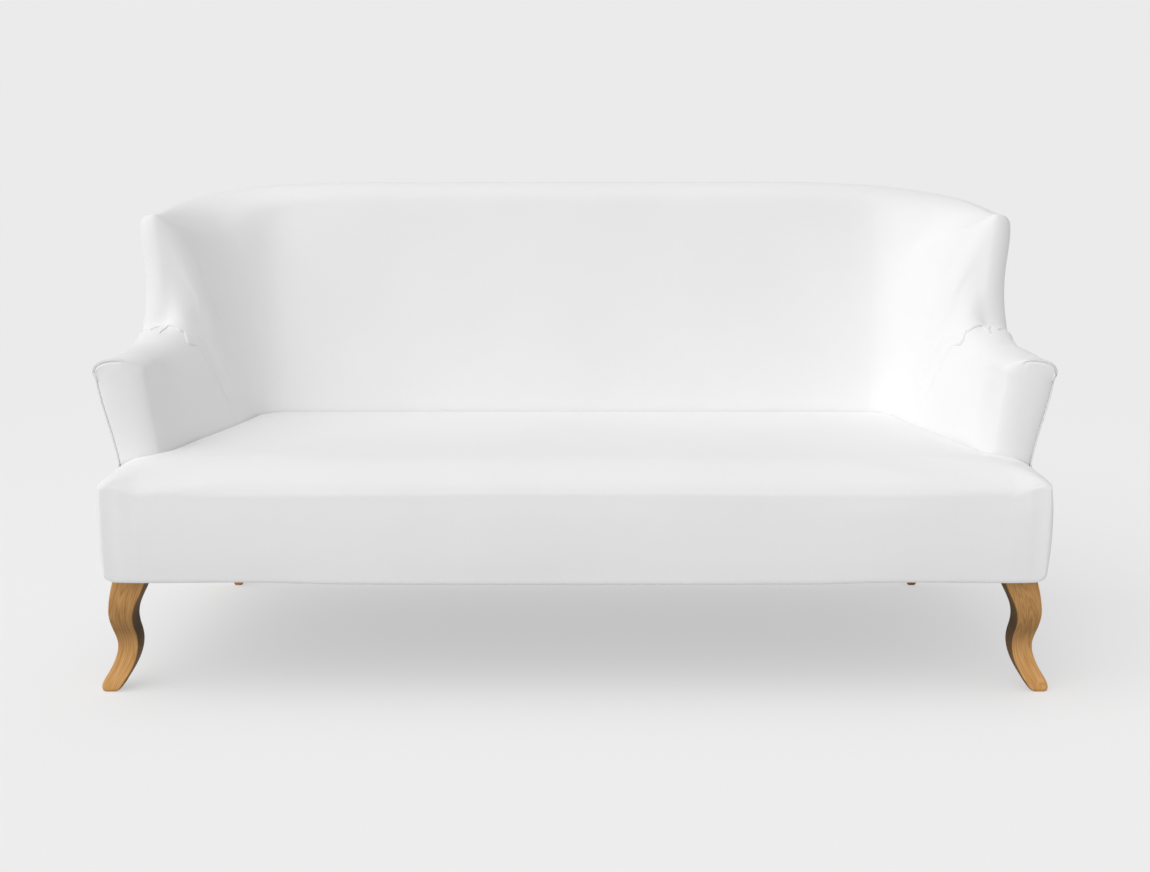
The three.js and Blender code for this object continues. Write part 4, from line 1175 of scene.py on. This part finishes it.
def wood_material(name, tones, stretch, scale, roughness, coat, depth, bands_count=9.0, painted_shade=None):
    """Timber: growth rings cut along the grain, fine pores and a slow change of tone.

    With a painted shade, it is the legs' timber: its grain follows the mesh's straightened coordinates and
    its colour gets the painted shade.
    """
    material, tree, shader = new_material(name)
    place_on = object_coordinates(tree)
    if painted_shade:
        place_on = node(tree, "ShaderNodeAttribute", attribute_name="grain").outputs["Vector"]
        shader.inputs["Specular IOR Level"].default_value = LEG_SHEEN
    along = node(tree, "ShaderNodeMapping", {"Vector": place_on, "Scale": stretch}).outputs[0]
    rings = texture_noise(tree, along, scale, 2.0, 0.45, 0.2)
    fibres = texture_noise(tree, along, scale * 6, 5.0, 0.7)
    slow = texture_noise(tree, along, scale * 0.3, 1.0)
    bands = math_node(tree, "FRACT", math_node(tree, "MULTIPLY", rings, bands_count))
    bands = math_node(tree, "PINGPONG", bands, 0.5)
    figure = total(tree, (bands, 0.9), (fibres, 0.55), (slow, 0.35))
    colour = ramp(tree, figure, [(0.30, tones[0]), (0.52, tones[1]), (0.80, tones[2])])
    fill(tree, shader.inputs, {"Base Color": painted_shade(tree, colour) if painted_shade else colour,
                               "Roughness": total(tree, (fibres, 0.2), roughness - 0.1),
                               "Normal": bump(tree, figure, 0.4, depth),
                               "Coat Weight": coat, "Coat Roughness": 0.25})
    return material


def metal_material(name, tone, roughness):
    material, tree, shader = new_material(name)
    streaks = texture_noise(tree, object_coordinates(tree), 160.0, 3.0)
    dark = tuple(v * 0.8 for v in tone)
    fill(tree, shader.inputs, {"Metallic": 1.0,
                               "Base Color": ramp(tree, streaks, [(0.3, dark), (0.7, tone)]),
                               "Roughness": total(tree, (streaks, 0.2), roughness - 0.1)})
    return material


def foam_material():
    material, tree, shader = new_material("foam_open_cell")
    coordinates = object_coordinates(tree)
    cells = node(tree, "ShaderNodeTexVoronoi", {"Vector": coordinates, "Scale": 420.0}).outputs["Distance"]
    tone = total(tree, (cells, 0.4), (texture_noise(tree, coordinates, 6.0, 2.0), 0.6))
    colour = ramp(tree, tone, [(0.2, srgb(222, 206, 150)), (0.7, srgb(244, 234, 190))])
    fill(tree, shader.inputs, {"Base Color": colour, "Roughness": 0.95,
                               "Normal": bump(tree, cells, 0.5, 0.0005)})
    return material


THREAD = 0.0016
PINE = (srgb(190, 150, 98), srgb(216, 182, 132), srgb(232, 206, 162))
WHITE = (srgb(244, 244, 244), srgb(248, 248, 248))
OFF_WHITE = (srgb(242, 242, 242), srgb(246, 246, 246))
FELT_GREY = (srgb(120, 116, 110), srgb(158, 152, 144))
WEBBING_BLUE = (srgb(38, 50, 66), srgb(58, 74, 94))
OAK = (srgb(180, 126, 70), srgb(206, 152, 90), srgb(222, 170, 106))
panel_fabric = cloth_material("upholstery_white_outside", OFF_WHITE, THREAD, 0.85, 0.08)
timber_upright = wood_material("frame_timber_upright", PINE, (1.6, 1.6, 0.25), 14.0, 0.65, 0.0, 0.0003)
# The finish of each slot
FINISHES = {
    "cover_fabric": cloth_material("upholstery_white", WHITE, THREAD, 0.85, 0.08),
    "cambric": cloth_material("cambric_black", (srgb(30, 30, 32), srgb(44, 44, 47)), 0.0012, 0.95, 0.05),
    "felt": cloth_material("felt_grey", FELT_GREY, 0.0030, 1.0, 0.2, 0.0004, 25.0),
    "webbing": cloth_material("webbing_woven", WEBBING_BLUE, 0.0028, 0.8, 0.1, 0.0004, 30.0),
    "foam": foam_material(),
    "frame_timber": wood_material("frame_timber_pine", PINE, (0.25, 1.6, 1.6), 14.0, 0.65, 0.0, 0.0003),
    # The legs' oak has painted shade on its inner sides and painted light and shade by height
    "oak": wood_material("oak_oiled_painted_shade", OAK, (1.6, 1.6, 0.07), 30.0, 0.55, 0.04, 0.0002, 16.0, leg_painted_shade),
    "spring_steel": metal_material("spring_steel_dark", srgb(120, 124, 130), 0.45),
    "zinc_steel": metal_material("zinc_plated_steel", srgb(196, 198, 202), 0.35),
}
# Timber whose grain stands upright, by words in its name
UPRIGHT = ("post", "rib", "wing_board")
for record in frame["record"]["subparts"]:
    upright = any(word in record["node"] for word in UPRIGHT) and record["material_slot"] == "frame_timber"
    slots = frame["nodes"][record["node"]].data.materials
    slots.clear()
    slots.append(timber_upright if upright else FINISHES[record["material_slot"]])

build_horseshoe()
build_panels()
build_seat()
build_foams()
build_felt()
build_straps()
build_dust_cover()
build_legs()


# Studio
CAMERA_PLACE = (0, -3.438, 1.1727)
CAMERA_TILT = 78
LENS, SENSOR = 50, 36
BACKDROP = 0.83
AMBIENT = 0.455
KEY = 1.64
KEY_ANGLE = 80
KEY_FROM = (-0.53, -0.42, 0.736)
FLOOR = 0.80
FLOOR_SEEN = 0.40
FLOOR_GLOW = 0.510
FLOOR_HALF = 40
# The floor fades into the backdrop between these distances from the middle
FADE_START, FADE_END = 1.4, 3.6


def grey(level):
    return (level, level, level, 1)


def mix_shaders(tree, share, first, second):
    return node(tree, "ShaderNodeMixShader", {0: share, 1: first.outputs[0], 2: second.outputs[0]})


def build_world(scene):
    """An even light that is seen as the grey backdrop."""
    scene.world = bpy.data.worlds.new("studio")
    scene.world.use_nodes = True
    tree = scene.world.node_tree
    light = tree.nodes["Background"]
    fill(tree, light.inputs, {"Color": grey(1), "Strength": AMBIENT})
    seen = node(tree, "ShaderNodeBackground", {"Color": grey(BACKDROP), "Strength": 1.0})
    path = tree.nodes.new("ShaderNodeLightPath").outputs
    either = math_node(tree, "MAXIMUM", path["Is Camera Ray"], path["Is Glossy Ray"])
    either = math_node(tree, "MAXIMUM", either, path["Is Transmission Ray"])
    mix = mix_shaders(tree, either, light, seen)
    tree.links.new(mix.outputs[0], tree.nodes["World Output"].inputs[0])


def floor_material():
    """Pale paint that keeps the shadow, and fades into the backdrop further out."""
    material, tree, shader = new_material("floor_paint")
    fill(tree, shader.inputs, {"Base Color": grey(FLOOR), "Roughness": 1.0, "Specular IOR Level": 0.0})
    glow = node(tree, "ShaderNodeEmission", {"Color": grey(1), "Strength": FLOOR_GLOW})
    seen = node(tree, "ShaderNodeBsdfDiffuse", {"Color": grey(FLOOR_SEEN)})
    lit = node(tree, "ShaderNodeAddShader", {0: seen.outputs[0], 1: glow.outputs[0]})
    far = node(tree, "ShaderNodeEmission", {"Color": grey(BACKDROP), "Strength": 1.0})
    length = node(tree, "ShaderNodeVectorMath", {0: object_coordinates(tree)}, operation="LENGTH")
    fade = node(tree, "ShaderNodeMapRange", {"Value": length.outputs["Value"], "From Min": FADE_START,
                                             "From Max": FADE_END}, interpolation_type="SMOOTHSTEP")
    near = mix_shaders(tree, fade.outputs[0], lit, far)
    path = tree.nodes.new("ShaderNodeLightPath")
    mix = mix_shaders(tree, path.outputs["Is Camera Ray"], shader, near)
    tree.links.new(mix.outputs[0], tree.nodes["Material Output"].inputs[0])
    return material


def build_studio():
    scene = bpy.context.scene
    scene.view_settings.view_transform = "Standard"
    camera = bpy.data.objects.new("camera", bpy.data.cameras.new("camera"))
    camera.data.lens = LENS
    camera.data.sensor_width = SENSOR
    camera.location = CAMERA_PLACE
    camera.rotation_euler = (math.radians(CAMERA_TILT), 0, 0)
    scene.collection.objects.link(camera)
    scene.camera = camera
    build_world(scene)

    key = bpy.data.objects.new("key", bpy.data.lights.new("key", "SUN"))
    key.data.energy = KEY
    key.data.angle = math.radians(KEY_ANGLE)
    key.rotation_euler = Vector(KEY_FROM).to_track_quat("Z", "Y").to_euler()
    scene.collection.objects.link(key)

    corners = [(x * FLOOR_HALF, y * FLOOR_HALF, 0) for x, y in ((-1, -1), (1, -1), (1, 1), (-1, 1))]
    floor = mesh_object("floor", corners, [(0, 1, 2, 3)])
    floor.data.materials.append(floor_material())


build_studio()
